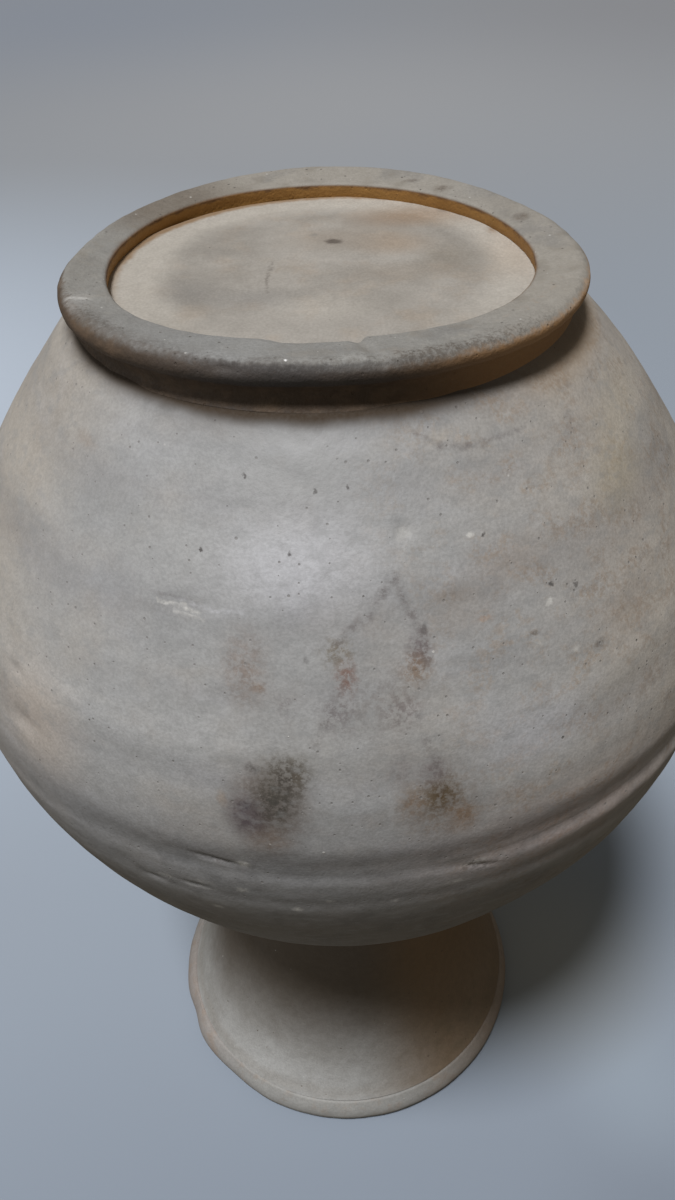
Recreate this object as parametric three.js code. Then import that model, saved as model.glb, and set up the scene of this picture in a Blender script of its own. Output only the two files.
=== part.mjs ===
// Short-necked stoneware jar, standing on its mouth with its foot ring on top.
// Millimetres, +Z up, origin at the centre of the mouth plane.
// A potter builds such a jar from a lip, a collar, four wall bands, a base disc and a foot ring,
// joined by bevelled seams with a thin layer of slip, and backed by two coils of clay inside.
import * as THREE from 'three';

// Heights, stacked from the mouth to the foot
const LIP_HEIGHT = 8;
const COLLAR_HEIGHT = 56;
const THROAT_TO_BELLY = 94;
const BELLY_TO_HEEL = 66.5;

// Radii of the outside
const MOUTH_RADIUS = 50.6;
const THROAT_RADIUS = 30;
const BELLY_RADIUS = 80.4;

// Walls
const COLLAR_WALL = 5;
const BODY_WALL = 6;
const DISC_THICKNESS = 6.5;

// How the outside bends: the length of each curve's pull on its end point
const COLLAR_FLARE = 6;
const COLLAR_FLARE_SLOPE = 0.7;
const COLLAR_THROAT_PULL = 23;
const SHOULDER_THROAT_PULL = 10.5;
const SHOULDER_BELLY_PULL = 41.7;
const HEEL_BELLY_PULL = 22.3;
const HEEL_END_PULL = 17.5;
const HEEL_END_SLOPE = 1;

// Seams of the wall, measured from the throat and from the belly's widest line
const COLLAR_SEAM_ABOVE_THROAT = 20;
const SHOULDER_SEAM_BELOW_BELLY = 37;
const HEEL_SEAM_ABOVE_BELLY = 33;
const SEAM_BEVEL = 3;
const SLIP = 0.3;

// Coils of clay pressed over the seams from inside
const NECK_COIL_WIDTH = 16;
const NECK_COIL_THICKNESS = 2.6;
const BELLY_COIL_WIDTH = 20;
const BELLY_COIL_THICKNESS = 2.2;

// Mouth: the bead stands out past the collar's end
const LIP_OVERHANG = 2.6;
const RIM_FLAT_WIDTH = 2;

// Foot ring and the sunk disc inside it. The ring sits half on the disc's shoulder and half on the heel.
const RECESS_RADIUS = 38;
const RECESS_DEPTH = 4.1;
const DISC_SHOULDER_WIDTH = 3;
const DISC_BOSS_HEIGHT = 2.6;
const HEEL_SEAT_WIDTH = 3;
const FOOT_SPLAY = 2.7;
const FOOT_UNDERCUT = 0.8;
const FOOT_OUTER_ROUNDING = 1.4;
const FOOT_INNER_ROUNDING = 0.8;
const FOOT_WAIST_BEND = 0.9;

// Fineness of the round shapes
const SEGMENTS_ROUND = 48;
const WALL_STEP_LENGTH = 8;
const COIL_STEPS = 6;
const EDGE_STEPS = 3;
const LIP_STEPS = 6;

const THROAT_Z = LIP_HEIGHT + COLLAR_HEIGHT;
const BELLY_Z = THROAT_Z + THROAT_TO_BELLY;
const HEEL_Z = BELLY_Z + BELLY_TO_HEEL;
const DISC_FLOOR_Z = HEEL_Z + DISC_BOSS_HEIGHT;
const FOOT_Z = DISC_FLOOR_Z + RECESS_DEPTH;

const COLLAR_END_RADIUS = MOUTH_RADIUS - LIP_OVERHANG;
const DISC_SHOULDER_RADIUS = RECESS_RADIUS + DISC_SHOULDER_WIDTH;
const HEEL_RADIUS = DISC_SHOULDER_RADIUS + HEEL_SEAT_WIDTH;
const FOOT_RADIUS = HEEL_RADIUS + FOOT_SPLAY;
const FOOT_INNER_RADIUS = RECESS_RADIUS - FOOT_UNDERCUT;

const point = (radius, height) => new THREE.Vector2(radius, height);

// The outside of the wall, from the collar's end at the lip up to the heel
const outside = new THREE.CurvePath();
outside.add(new THREE.CubicBezierCurve(
  point(COLLAR_END_RADIUS, LIP_HEIGHT),
  point(COLLAR_END_RADIUS - COLLAR_FLARE_SLOPE * COLLAR_FLARE, LIP_HEIGHT + COLLAR_FLARE),
  point(THROAT_RADIUS, THROAT_Z - COLLAR_THROAT_PULL),
  point(THROAT_RADIUS, THROAT_Z),
));
outside.add(new THREE.CubicBezierCurve(
  point(THROAT_RADIUS, THROAT_Z),
  point(THROAT_RADIUS, THROAT_Z + SHOULDER_THROAT_PULL),
  point(BELLY_RADIUS, BELLY_Z - SHOULDER_BELLY_PULL),
  point(BELLY_RADIUS, BELLY_Z),
));
outside.add(new THREE.CubicBezierCurve(
  point(BELLY_RADIUS, BELLY_Z),
  point(BELLY_RADIUS, BELLY_Z + HEEL_BELLY_PULL),
  point(HEEL_RADIUS + HEEL_END_SLOPE * HEEL_END_PULL, HEEL_Z - HEEL_END_PULL),
  point(HEEL_RADIUS, HEEL_Z),
));
const OUTSIDE_LENGTH = outside.getLength();

// Distance along the outside at which it reaches a height
function runAtHeight(height) {
  let low = 0;
  let high = 1;
  for (let i = 0; i < 40; i += 1) {
    const middle = (low + high) / 2;
    if (outside.getPoint(middle).y < height) low = middle;
    else high = middle;
  }
  return ((low + high) / 2) * OUTSIDE_LENGTH;
}

// Direction of the wall, from the mouth to the foot, at a run along the outside
function directionAt(run) {
  const share = THREE.MathUtils.clamp(run / OUTSIDE_LENGTH, 0, 1);
  return outside.getTangent(share);
}

// Point at a run along the outside and a depth into the clay from there
function wallPoint(run, depth) {
  const share = THREE.MathUtils.clamp(run / OUTSIDE_LENGTH, 0, 1);
  const direction = directionAt(run);
  const start = outside.getPoint(share);
  return point(start.x - direction.y * depth, start.y + direction.x * depth);
}

// The wall thickens evenly from the collar to the body between throat and belly
const THROAT_RUN = runAtHeight(THROAT_Z);
const BELLY_RUN = runAtHeight(BELLY_Z);
function wallAt(run) {
  return THREE.MathUtils.mapLinear(
    THREE.MathUtils.clamp(run, THROAT_RUN, BELLY_RUN),
    THROAT_RUN, BELLY_RUN, COLLAR_WALL, BODY_WALL,
  );
}

// Turns a closed outline of radius and height into a ring or disc about the jar's axis
function turned(name, outline, colour, roughness) {
  const geometry = new THREE.LatheGeometry(outline, SEGMENTS_ROUND);
  geometry.rotateX(Math.PI / 2);
  const material = new THREE.MeshStandardMaterial({ color: colour, roughness, metalness: 0 });
  const mesh = new THREE.Mesh(geometry, material);
  mesh.name = name;
  return mesh;
}

// Points of the wall's outer or inner face between two runs
function face(fromRun, toRun, depthAt) {
  const steps = Math.ceil(Math.abs(toRun - fromRun) / WALL_STEP_LENGTH);
  const points = [];
  for (let i = 0; i <= steps; i += 1) {
    const run = THREE.MathUtils.lerp(fromRun, toRun, i / steps);
    points.push(wallPoint(run, depthAt(run)));
  }
  return points;
}

// A band of wall between two seams. Each seam slants: its inner edge lies further along the wall
// by the bevel, so that a band seats inside the edge of the one before it.
function bandOutline(fromRun, toRun, fromBevel, toBevel) {
  const start = fromRun + SLIP / 2;
  const end = toRun - SLIP / 2;
  const outer = face(start, end, () => 0);
  const inner = face(end + toBevel, start + fromBevel, wallAt);
  return [...outer, ...inner, outer[0]];
}

// A coil smeared over a seam from inside: full in the middle and feathered out at both edges
function coilOutline(seamRun, width, thickness) {
  const middle = seamRun + SEAM_BEVEL;
  const seat = [];
  const crown = [];
  for (let i = 0; i <= COIL_STEPS; i += 1) {
    const across = THREE.MathUtils.lerp(-1, 1, i / COIL_STEPS);
    const run = middle + across * width / 2;
    const bed = wallAt(run) + SLIP;
    seat.push(wallPoint(run, bed));
    crown.push(wallPoint(run, bed + thickness * (1 - across * across)));
  }
  const back = crown.slice(1, -1).reverse();
  return [...seat, ...back, seat[0]];
}

// The lip is a bead outside the collar's end, with a narrow flat on which the jar stands
function lipOutline() {
  const gap = directionAt(0).multiplyScalar(-SLIP);
  const seamOut = wallPoint(0, 0).add(gap);
  const seamIn = wallPoint(0, COLLAR_WALL).add(gap);
  const bead = new THREE.EllipseCurve(
    seamOut.x, seamOut.y / 2, MOUTH_RADIUS - seamOut.x, seamOut.y / 2, -Math.PI / 2, Math.PI / 2,
  );
  return [seamIn, point(seamOut.x - RIM_FLAT_WIDTH, 0), ...bead.getPoints(LIP_STEPS), seamIn];
}

// The heel band ends in a flat seat for the foot ring, and a bevelled opening that holds the disc
function heelOutline(fromRun) {
  const start = fromRun + SLIP / 2;
  const outer = face(start, OUTSIDE_LENGTH, () => 0);
  const inner = face(OUTSIDE_LENGTH, start + SEAM_BEVEL, wallAt);
  return [...outer, point(DISC_SHOULDER_RADIUS, HEEL_Z), ...inner, outer[0]];
}

// The disc plugs the heel's opening and stands up inside the foot ring as the sunk floor
function discOutline() {
  const undersideZ = DISC_FLOOR_Z - DISC_THICKNESS;
  const openingIn = wallPoint(OUTSIDE_LENGTH, BODY_WALL);
  const taper = (DISC_SHOULDER_RADIUS - openingIn.x) / (HEEL_Z - openingIn.y);
  const edgeRadius = (height) => DISC_SHOULDER_RADIUS - taper * (HEEL_Z - height) - SLIP;
  const undercut = FOOT_UNDERCUT * DISC_BOSS_HEIGHT / (FOOT_Z - HEEL_Z);
  return [
    point(0, undersideZ),
    point(edgeRadius(undersideZ), undersideZ),
    point(edgeRadius(HEEL_Z), HEEL_Z),
    point(RECESS_RADIUS - SLIP, HEEL_Z),
    point(RECESS_RADIUS - SLIP - undercut, DISC_FLOOR_Z),
    point(0, DISC_FLOOR_Z),
  ];
}

// The foot ring splays from the heel to a rounded edge, is flat on top and slightly undercut inside
function footOutline() {
  const bottomZ = HEEL_Z + SLIP;
  const outerEdge = new THREE.EllipseCurve(
    FOOT_RADIUS - FOOT_OUTER_ROUNDING, FOOT_Z - FOOT_OUTER_ROUNDING,
    FOOT_OUTER_ROUNDING, FOOT_OUTER_ROUNDING, -Math.PI / 6, Math.PI / 2,
  );
  const innerEdge = new THREE.EllipseCurve(
    FOOT_INNER_RADIUS + FOOT_INNER_ROUNDING, FOOT_Z - FOOT_INNER_ROUNDING,
    FOOT_INNER_ROUNDING, FOOT_INNER_ROUNDING, Math.PI / 2, Math.PI,
  );
  const edgeStart = outerEdge.getPoint(0);
  const waist = point(HEEL_RADIUS, bottomZ);
  const bend = waist.clone().lerp(edgeStart, 0.5);
  bend.x -= FOOT_WAIST_BEND;
  return [
    point(RECESS_RADIUS, bottomZ),
    waist,
    bend,
    ...outerEdge.getPoints(EDGE_STEPS),
    ...innerEdge.getPoints(EDGE_STEPS),
    point(RECESS_RADIUS, bottomZ),
  ];
}

// Where the seams lie along the outside
const COLLAR_SEAM = runAtHeight(THROAT_Z + COLLAR_SEAM_ABOVE_THROAT);
const SHOULDER_SEAM = runAtHeight(BELLY_Z - SHOULDER_SEAM_BELOW_BELLY);
const BELLY_SEAM = BELLY_RUN;
const HEEL_SEAM = runAtHeight(BELLY_Z + HEEL_SEAM_ABOVE_BELLY);

const jar = new THREE.Group();
jar.name = 'short_necked_jar';
jar.add(turned('mouth_lip', lipOutline(), '#8e8b80', 0.86));
jar.add(turned('neck_collar', bandOutline(-SLIP / 2, COLLAR_SEAM, 0, SEAM_BEVEL), '#96938c', 0.85));
jar.add(turned(
  'neck_joint_coil', coilOutline(COLLAR_SEAM, NECK_COIL_WIDTH, NECK_COIL_THICKNESS), '#7b766d', 0.92,
));
jar.add(turned(
  'shoulder_band', bandOutline(COLLAR_SEAM, SHOULDER_SEAM, SEAM_BEVEL, SEAM_BEVEL), '#8a8680', 0.86,
));
jar.add(turned(
  'lower_belly_band', bandOutline(SHOULDER_SEAM, BELLY_SEAM, SEAM_BEVEL, SEAM_BEVEL), '#8f8a82', 0.86,
));
jar.add(turned(
  'belly_joint_coil', coilOutline(BELLY_SEAM, BELLY_COIL_WIDTH, BELLY_COIL_THICKNESS), '#7b766d', 0.92,
));
jar.add(turned(
  'upper_belly_band', bandOutline(BELLY_SEAM, HEEL_SEAM, SEAM_BEVEL, SEAM_BEVEL), '#a39f98', 0.84,
));
jar.add(turned('heel_band', heelOutline(HEEL_SEAM), '#a5a29c', 0.84));
jar.add(turned('base_disc', discOutline(), '#a89d90', 0.86));
jar.add(turned('foot_ring', footOutline(), '#8f8c84', 0.84));

export default jar;
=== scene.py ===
"""Looks of a short-necked stoneware jar that stands on its mouth, foot ring uppermost.

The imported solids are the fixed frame. Each of the potter's pieces gets a finely turned mesh here,
with the wheel's ridges, the pressed seam, chips and wear as real shape, and an unglazed clay finish.
Everything is in metres, in the frame's own axes: -Y is the front and +Z is up.
"""

import logging
import math
from collections.abc import Iterable
from dataclasses import dataclass
from enum import Enum
from functools import partial, reduce

import bmesh
import bpy
import numpy as np
from mathutils import Matrix, Vector


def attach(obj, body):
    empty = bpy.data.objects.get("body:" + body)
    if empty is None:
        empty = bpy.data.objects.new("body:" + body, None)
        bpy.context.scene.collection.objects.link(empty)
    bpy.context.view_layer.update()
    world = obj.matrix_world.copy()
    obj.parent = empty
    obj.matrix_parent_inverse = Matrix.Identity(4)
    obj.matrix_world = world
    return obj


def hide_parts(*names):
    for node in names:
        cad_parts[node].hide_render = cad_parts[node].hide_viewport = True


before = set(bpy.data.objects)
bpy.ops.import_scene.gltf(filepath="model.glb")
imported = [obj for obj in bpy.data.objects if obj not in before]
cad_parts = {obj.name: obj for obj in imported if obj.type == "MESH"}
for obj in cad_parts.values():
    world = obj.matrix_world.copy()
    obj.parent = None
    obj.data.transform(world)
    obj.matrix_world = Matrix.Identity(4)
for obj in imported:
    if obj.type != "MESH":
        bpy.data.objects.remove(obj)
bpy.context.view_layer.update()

MM = 0.001
BODY = "root"

Point = tuple[float, float]
Place = tuple[float, float, float]
Colour = tuple[float, float, float]
Socket = bpy.types.NodeSocket
Feed = float | tuple[float, ...] | Socket

ORIGIN: Place = (0.0, 0.0, 0.0)

log = logging.getLogger("jar")


# Handling of pieces on the bench


def pick(piece: bpy.types.Object) -> None:
    """Makes one piece the only selected and the active one.

    Args:
        piece: The object to work on.
    """
    bpy.ops.object.select_all(action="DESELECT")
    piece.select_set(True)
    bpy.context.view_layer.objects.active = piece


def soften(piece: bpy.types.Object, angle: float) -> None:
    """Shades a piece smooth, apart from its edges above an angle in degrees."""
    pick(piece)
    bpy.ops.object.shade_smooth_by_angle(angle=math.radians(angle))


def apply_modifier(piece: bpy.types.Object, modifier: bpy.types.Modifier) -> None:
    """Makes one modifier of a piece real."""
    pick(piece)
    bpy.ops.object.modifier_apply(modifier=modifier.name)


def corners_of(piece: bpy.types.Object) -> np.ndarray:
    """Reads a piece's vertices.

    Args:
        piece: A mesh object at the origin.

    Returns:
        An array of x, y, z rows in metres.
    """
    places = np.empty(len(piece.data.vertices) * 3, np.float32)
    piece.data.vertices.foreach_get("co", places)
    return places.reshape(-1, 3).astype(float)


def round_of(places: np.ndarray) -> tuple[np.ndarray, np.ndarray, np.ndarray]:
    """Splits places into radius, height and angle from the front in degrees, rising towards +X."""
    angle = np.degrees(np.arctan2(places[:, 0], -places[:, 1]))
    return np.hypot(places[:, 0], places[:, 1]), places[:, 2], angle


def smooth_step(low: float, high: float, value: np.ndarray) -> np.ndarray:
    """Eases values from 0 at low to 1 at high."""
    share = np.clip((value - low) / (high - low), 0.0, 1.0)
    return share * share * (3.0 - 2.0 * share)


def bell(value: np.ndarray, middle: float, reach: float) -> np.ndarray:
    """Weighs values by their nearness to a middle, softly on both sides."""
    return np.exp(-(((value - middle) / reach) ** 2))


@dataclass(frozen=True)
class Pull:
    """A curved stretch of an outline, pulled towards two points like a bent strip."""

    start: Point
    lead: Point
    follow: Point
    end: Point

    def at(self, share: float) -> Point:
        """Finds a point of the stretch.

        Args:
            share: 0 at the start and 1 at the end.

        Returns:
            Radius and height in metres.
        """
        rest = 1.0 - share
        weights = (rest**3, 3 * rest * rest * share, 3 * rest * share * share, share**3)
        ends = (self.start, self.lead, self.follow, self.end)
        return tuple(sum(w * end[i] for w, end in zip(weights, ends)) for i in (0, 1))

    def points(self, steps: int) -> list[Point]:
        """Lists evenly shared points of the stretch, both ends included."""
        return [self.at(i / steps) for i in range(steps + 1)]


def arc(centre: Point, reach: float, start: float, end: float, steps: int) -> list[Point]:
    """Lists points of a round arc between two angles in degrees, both from straight outwards."""
    turns = [math.radians(start + (end - start) * i / steps) for i in range(steps + 1)]
    return [(centre[0] + reach * math.cos(t), centre[1] + reach * math.sin(t)) for t in turns]


def between(start: Point, end: Point, shares: Iterable[float]) -> list[Point]:
    """Lists points of a straight stretch by their shares of its length."""
    return [tuple(a + (b - a) * share for a, b in zip(start, end)) for share in shares]


class Pole(Enum):
    """How a turned form ends on the axis."""

    NONE = "none"
    BOTH = "both"


class Turning:
    """A round form drawn up ring by ring from a circle, as clay is on a wheel."""

    def __init__(self, name: str, outline: list[Point], count: int, pole: Pole = Pole.NONE) -> None:
        """Turns a closed outline, or one that ends on the axis, into a mesh.

        Args:
            name: Name of the new object.
            outline: Radius and height of each ring, in order.
            count: How many points each ring has.
            pole: Whether both ends are closed on the axis.
        """
        bpy.ops.object.select_all(action="DESELECT")
        radius, height = outline[0]
        fill = "TRIFAN" if pole is Pole.BOTH else "NOTHING"
        bpy.ops.mesh.primitive_circle_add(
            vertices=count, radius=radius, fill_type=fill, location=(0.0, 0.0, height)
        )
        self.piece = bpy.context.active_object
        self.piece.name = name
        self.piece.data.name = name
        bpy.ops.object.transform_apply(location=True, rotation=True, scale=True)
        bpy.ops.object.mode_set(mode="EDIT")
        bpy.ops.mesh.select_mode(type="EDGE")
        bpy.ops.mesh.select_all(action="SELECT")
        if pole is Pole.BOTH:
            bpy.ops.mesh.select_all(action="DESELECT")
            bpy.ops.mesh.select_non_manifold()
        for before, after in zip(outline, outline[1:]):
            self.draw(before, after)
        if pole is Pole.BOTH:
            self.draw(outline[-1], outline[-1])
            bpy.ops.mesh.merge(type="CENTER")
        bpy.ops.mesh.select_all(action="SELECT")
        bpy.ops.mesh.remove_doubles(threshold=0.001 * MM)
        bpy.ops.mesh.normals_make_consistent(inside=False)
        bpy.ops.object.mode_set(mode="OBJECT")
        bpy.ops.object.shade_smooth()

    def draw(self, before: Point, after: Point) -> None:
        """Draws the selected ring on to the next one.

        Args:
            before: Radius and height of the selected ring.
            after: Radius and height of the new ring.
        """
        rise = (0.0, 0.0, after[1] - before[1])
        bpy.ops.mesh.extrude_region_move(TRANSFORM_OT_translate={"value": rise})
        growth = after[0] / before[0]
        bpy.ops.transform.resize(value=(growth, growth, 1.0), center_override=(0.0, 0.0, after[1]))

    def crease(self, corners: list[Point]) -> None:
        """Keeps some rings sharp when the form is refined.

        Args:
            corners: Radius and height of each ring to keep.
        """
        pick(self.piece)
        bpy.ops.object.mode_set(mode="EDIT")
        bpy.ops.mesh.select_all(action="DESELECT")
        mesh = bmesh.from_edit_mesh(self.piece.data)
        for edge in mesh.edges:
            ends = [(math.hypot(v.co.x, v.co.y), v.co.z) for v in edge.verts]
            for corner in corners:
                if all(math.dist(end, corner) < 0.05 * MM for end in ends):
                    edge.select_set(True)
        bmesh.update_edit_mesh(self.piece.data)
        bpy.ops.transform.edge_crease(value=1.0)
        bpy.ops.object.mode_set(mode="OBJECT")

    def refined(self, levels: int) -> bpy.types.Object:
        """Splits every face into smaller ones on a smooth surface.

        Args:
            levels: How many times each face is quartered.

        Returns:
            The refined piece.
        """
        modifier = self.piece.modifiers.new("refine", "SUBSURF")
        modifier.levels = levels
        modifier.render_levels = levels
        apply_modifier(self.piece, modifier)
        return self.piece


def paint(piece: bpy.types.Object, name: str, weights: np.ndarray) -> str:
    """Paints a vertex group from an array.

    Args:
        piece: The mesh object.
        name: Name of the group.
        weights: One weight from 0 to 1 for each vertex.

    Returns:
        The group's name.
    """
    levels = 1000
    group = piece.vertex_groups.new(name=name)
    steps = np.rint(np.clip(weights, 0.0, 1.0) * levels).astype(int)
    order = np.argsort(steps, kind="stable")
    values, starts = np.unique(steps[order], return_index=True)
    bounds = list(starts) + [len(order)]
    for value, low, high in zip(values, bounds, bounds[1:]):
        if value > 0:
            group.add(order[low:high].tolist(), float(value) / levels, "REPLACE")
    return group.name


def shift(piece: bpy.types.Object, lengths: np.ndarray, direction: str) -> None:
    """Moves each vertex along its normal, or along an axis, by its own length.

    Args:
        piece: The finely divided mesh.
        lengths: How far each vertex moves, in metres.
        direction: NORMAL, or X, Y or Z.
    """
    for sign in (1.0, -1.0):
        wanted = np.clip(sign * lengths, 0.0, None)
        longest = float(wanted.max())
        if longest <= 0.0:
            continue
        modifier = piece.modifiers.new("shift", "DISPLACE")
        modifier.direction = direction
        modifier.mid_level = 0.0
        modifier.strength = sign * longest
        modifier.vertex_group = paint(piece, "shift", wanted / longest)
        apply_modifier(piece, modifier)
        piece.vertex_groups.clear()


def carve(piece: bpy.types.Object, depths: np.ndarray) -> None:
    """Presses each vertex into the clay by its own depth in metres, or out of it below 0."""
    shift(piece, -depths, "NORMAL")


def widen(piece: bpy.types.Object, lengths: np.ndarray) -> None:
    """Moves each vertex away from the jar's axis by its own length.

    Args:
        piece: The finely divided mesh.
        lengths: How far each vertex moves outwards, in metres.
    """
    places = corners_of(piece)
    radius = np.maximum(np.hypot(places[:, 0], places[:, 1]), MM)
    shift(piece, lengths * places[:, 0] / radius, "X")
    shift(piece, lengths * places[:, 1] / radius, "Y")


def lean(piece: bpy.types.Object) -> None:
    """Leans a piece as the jar was thrown, a little out of true.

    Args:
        piece: The finely divided mesh.
    """
    height = corners_of(piece)[:, 2]
    mouth = smooth_step(58.0 * MM, 2.0 * MM, height)
    belly = bell(height, 152.0 * MM, 24.0 * MM)
    foot = smooth_step(212.0 * MM, 226.0 * MM, height)
    shift(piece, (-2.1 * mouth + 0.3 * belly - 0.8 * foot) * MM, "X")


@dataclass(frozen=True)
class Unevenness:
    """A cloudy rise and fall of a clay surface, as wide and as tall as its spans."""

    depth: float
    span: float
    height_span: float
    detail: int = 2

    def press(self, piece: bpy.types.Object, weights: np.ndarray | None = None) -> None:
        """Presses the unevenness into a piece along its normals.

        Args:
            piece: The finely divided mesh.
            weights: How much each vertex takes of it, or None for all of it.
        """
        clouds = bpy.data.textures.new(f"{piece.name}_uneven", "CLOUDS")
        clouds.noise_scale = 1.0
        clouds.noise_depth = self.detail
        space = bpy.data.objects.new(f"{piece.name}_space", None)
        bpy.context.scene.collection.objects.link(space)
        space.location = (13.7 * self.span, 0.0, 0.0)
        space.scale = (self.span, self.span, self.height_span)
        bpy.context.view_layer.update()
        modifier = piece.modifiers.new("uneven", "DISPLACE")
        modifier.texture = clouds
        modifier.texture_coords = "OBJECT"
        modifier.texture_coords_object = space
        modifier.mid_level = 0.5
        modifier.strength = 2.0 * self.depth
        if weights is not None:
            modifier.vertex_group = paint(piece, "uneven", weights)
        apply_modifier(piece, modifier)
        bpy.data.objects.remove(space)
        bpy.data.textures.remove(clouds)
        piece.vertex_groups.clear()


@dataclass(frozen=True)
class Lobe:
    """A wave of an outline around the jar, out of round."""

    count: int
    rise: float
    peak: float

    def lengths(self, angle: np.ndarray) -> np.ndarray:
        """Works out the wave's rise in metres at angles in degrees from the front."""
        return self.rise * np.cos(self.count * np.radians(angle - self.peak))


@dataclass(frozen=True)
class Dent:
    """A hollow pressed or broken into the clay at one place."""

    angle: float
    height: float
    half_width: float
    half_height: float
    depth: float
    tilt: float = 0.0

    def depths(self, places: np.ndarray) -> np.ndarray:
        """Works out how deep the dent is at each place.

        Args:
            places: Rows of x, y, z.

        Returns:
            Depths in metres.
        """
        radius, height, angle = round_of(places)
        turn = (angle - self.angle + 180.0) % 360.0 - 180.0
        across = np.radians(turn) * radius
        up = height - self.height - self.tilt * across
        reach = (across / self.half_width) ** 2 + (up / self.half_height) ** 2
        return self.depth * np.exp(-1.5 * reach)


# The wall of the jar


@dataclass(frozen=True)
class WallLine:
    """The outside of the wall, from the collar's end at the lip to the heel, and its thickness."""

    lip_height: float = 8.0 * MM
    throat_height: float = 64.0 * MM
    belly_height: float = 158.0 * MM
    heel_height: float = 224.5 * MM
    collar_end_radius: float = 48.0 * MM
    throat_radius: float = 30.0 * MM
    belly_radius: float = 80.4 * MM
    heel_radius: float = 44.0 * MM
    collar_wall: float = 5.0 * MM
    body_wall: float = 6.0 * MM
    skin_depth: float = 0.45 * MM
    flare: Point = (4.2 * MM, 6.0 * MM)
    throat_pull: float = 23.0 * MM
    shoulder_throat_pull: float = 10.5 * MM
    shoulder_belly_pull: float = 41.7 * MM
    heel_belly_pull: float = 22.3 * MM
    heel_end_pull: float = 17.5 * MM
    samples: int = 240

    def stretches(self) -> tuple[Pull, ...]:
        """Lists the curved stretches of the outside.

        Returns:
            Collar, shoulder and heel stretch, in order.
        """
        end = (self.collar_end_radius, self.lip_height)
        flared = (end[0] - self.flare[0], end[1] + self.flare[1])
        throat = (self.throat_radius, self.throat_height)
        below_throat = (throat[0], throat[1] - self.throat_pull)
        above_throat = (throat[0], throat[1] + self.shoulder_throat_pull)
        belly = (self.belly_radius, self.belly_height)
        below_belly = (belly[0], belly[1] - self.shoulder_belly_pull)
        above_belly = (belly[0], belly[1] + self.heel_belly_pull)
        heel = (self.heel_radius, self.heel_height)
        below_heel = (heel[0] + self.heel_end_pull, heel[1] - self.heel_end_pull)
        return (
            Pull(end, flared, below_throat, throat),
            Pull(throat, above_throat, below_belly, belly),
            Pull(belly, above_belly, below_heel, heel),
        )


class WallTrace:
    """Finds points of the wall by their run along the outside and their depth in the clay."""

    def __init__(self, line: WallLine) -> None:
        """Traces the outside closely.

        Args:
            line: The sizes of the wall.
        """
        self.line = line
        points: list[Point] = []
        for stretch in line.stretches():
            points += stretch.points(line.samples)[1 if points else 0 :]
        self.radius, self.height = np.array(points).T
        steps = np.hypot(np.diff(self.radius), np.diff(self.height))
        self.run = np.concatenate([[0.0], np.cumsum(steps)])
        self.slope_radius = np.gradient(self.radius, self.run)
        self.slope_height = np.gradient(self.height, self.run)
        self.length = float(self.run[-1])

    def run_at(self, height: float) -> float:
        """Finds the run at which the outside reaches a height."""
        return float(np.interp(height, self.height, self.run))

    def wall_at(self, run: float) -> float:
        """Finds the wall's thickness, which grows evenly from throat to belly."""
        ends = [self.run_at(self.line.throat_height), self.run_at(self.line.belly_height)]
        return float(np.interp(run, ends, [self.line.collar_wall, self.line.body_wall]))

    def point(self, run: float, depth: float) -> Point:
        """Finds a point of the wall.

        Args:
            run: Distance along the outside from the collar's end.
            depth: Distance into the clay from the outside.

        Returns:
            Radius and height in metres.
        """
        radius, height, out, rise = (
            float(np.interp(run, self.run, values))
            for values in (self.radius, self.height, self.slope_radius, self.slope_height)
        )
        return radius - rise * depth, height + out * depth

    def front(self, across: float, height: float) -> Place:
        """Finds a place on the front, by millimetres to the right and above the floor."""
        radius = float(np.interp(height * MM, self.height, self.radius)) / MM
        return across, -math.sqrt(radius * radius - across * across), height

    def face(self, start: float, end: float, step: float, outer: bool) -> list[Point]:
        """Lists points of the outer or inner face between two runs, both ends included.

        Args:
            start: Run of the first point.
            end: Run of the last point.
            step: Longest wanted distance between the points.
            outer: Whether it is the outer face.

        Returns:
            Radius and height pairs.
        """
        count = max(1, math.ceil(abs(end - start) / step))
        runs = [start + (end - start) * i / count for i in range(count + 1)]
        return [self.point(run, self.line.skin_depth if outer else self.wall_at(run)) for run in runs]


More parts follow.
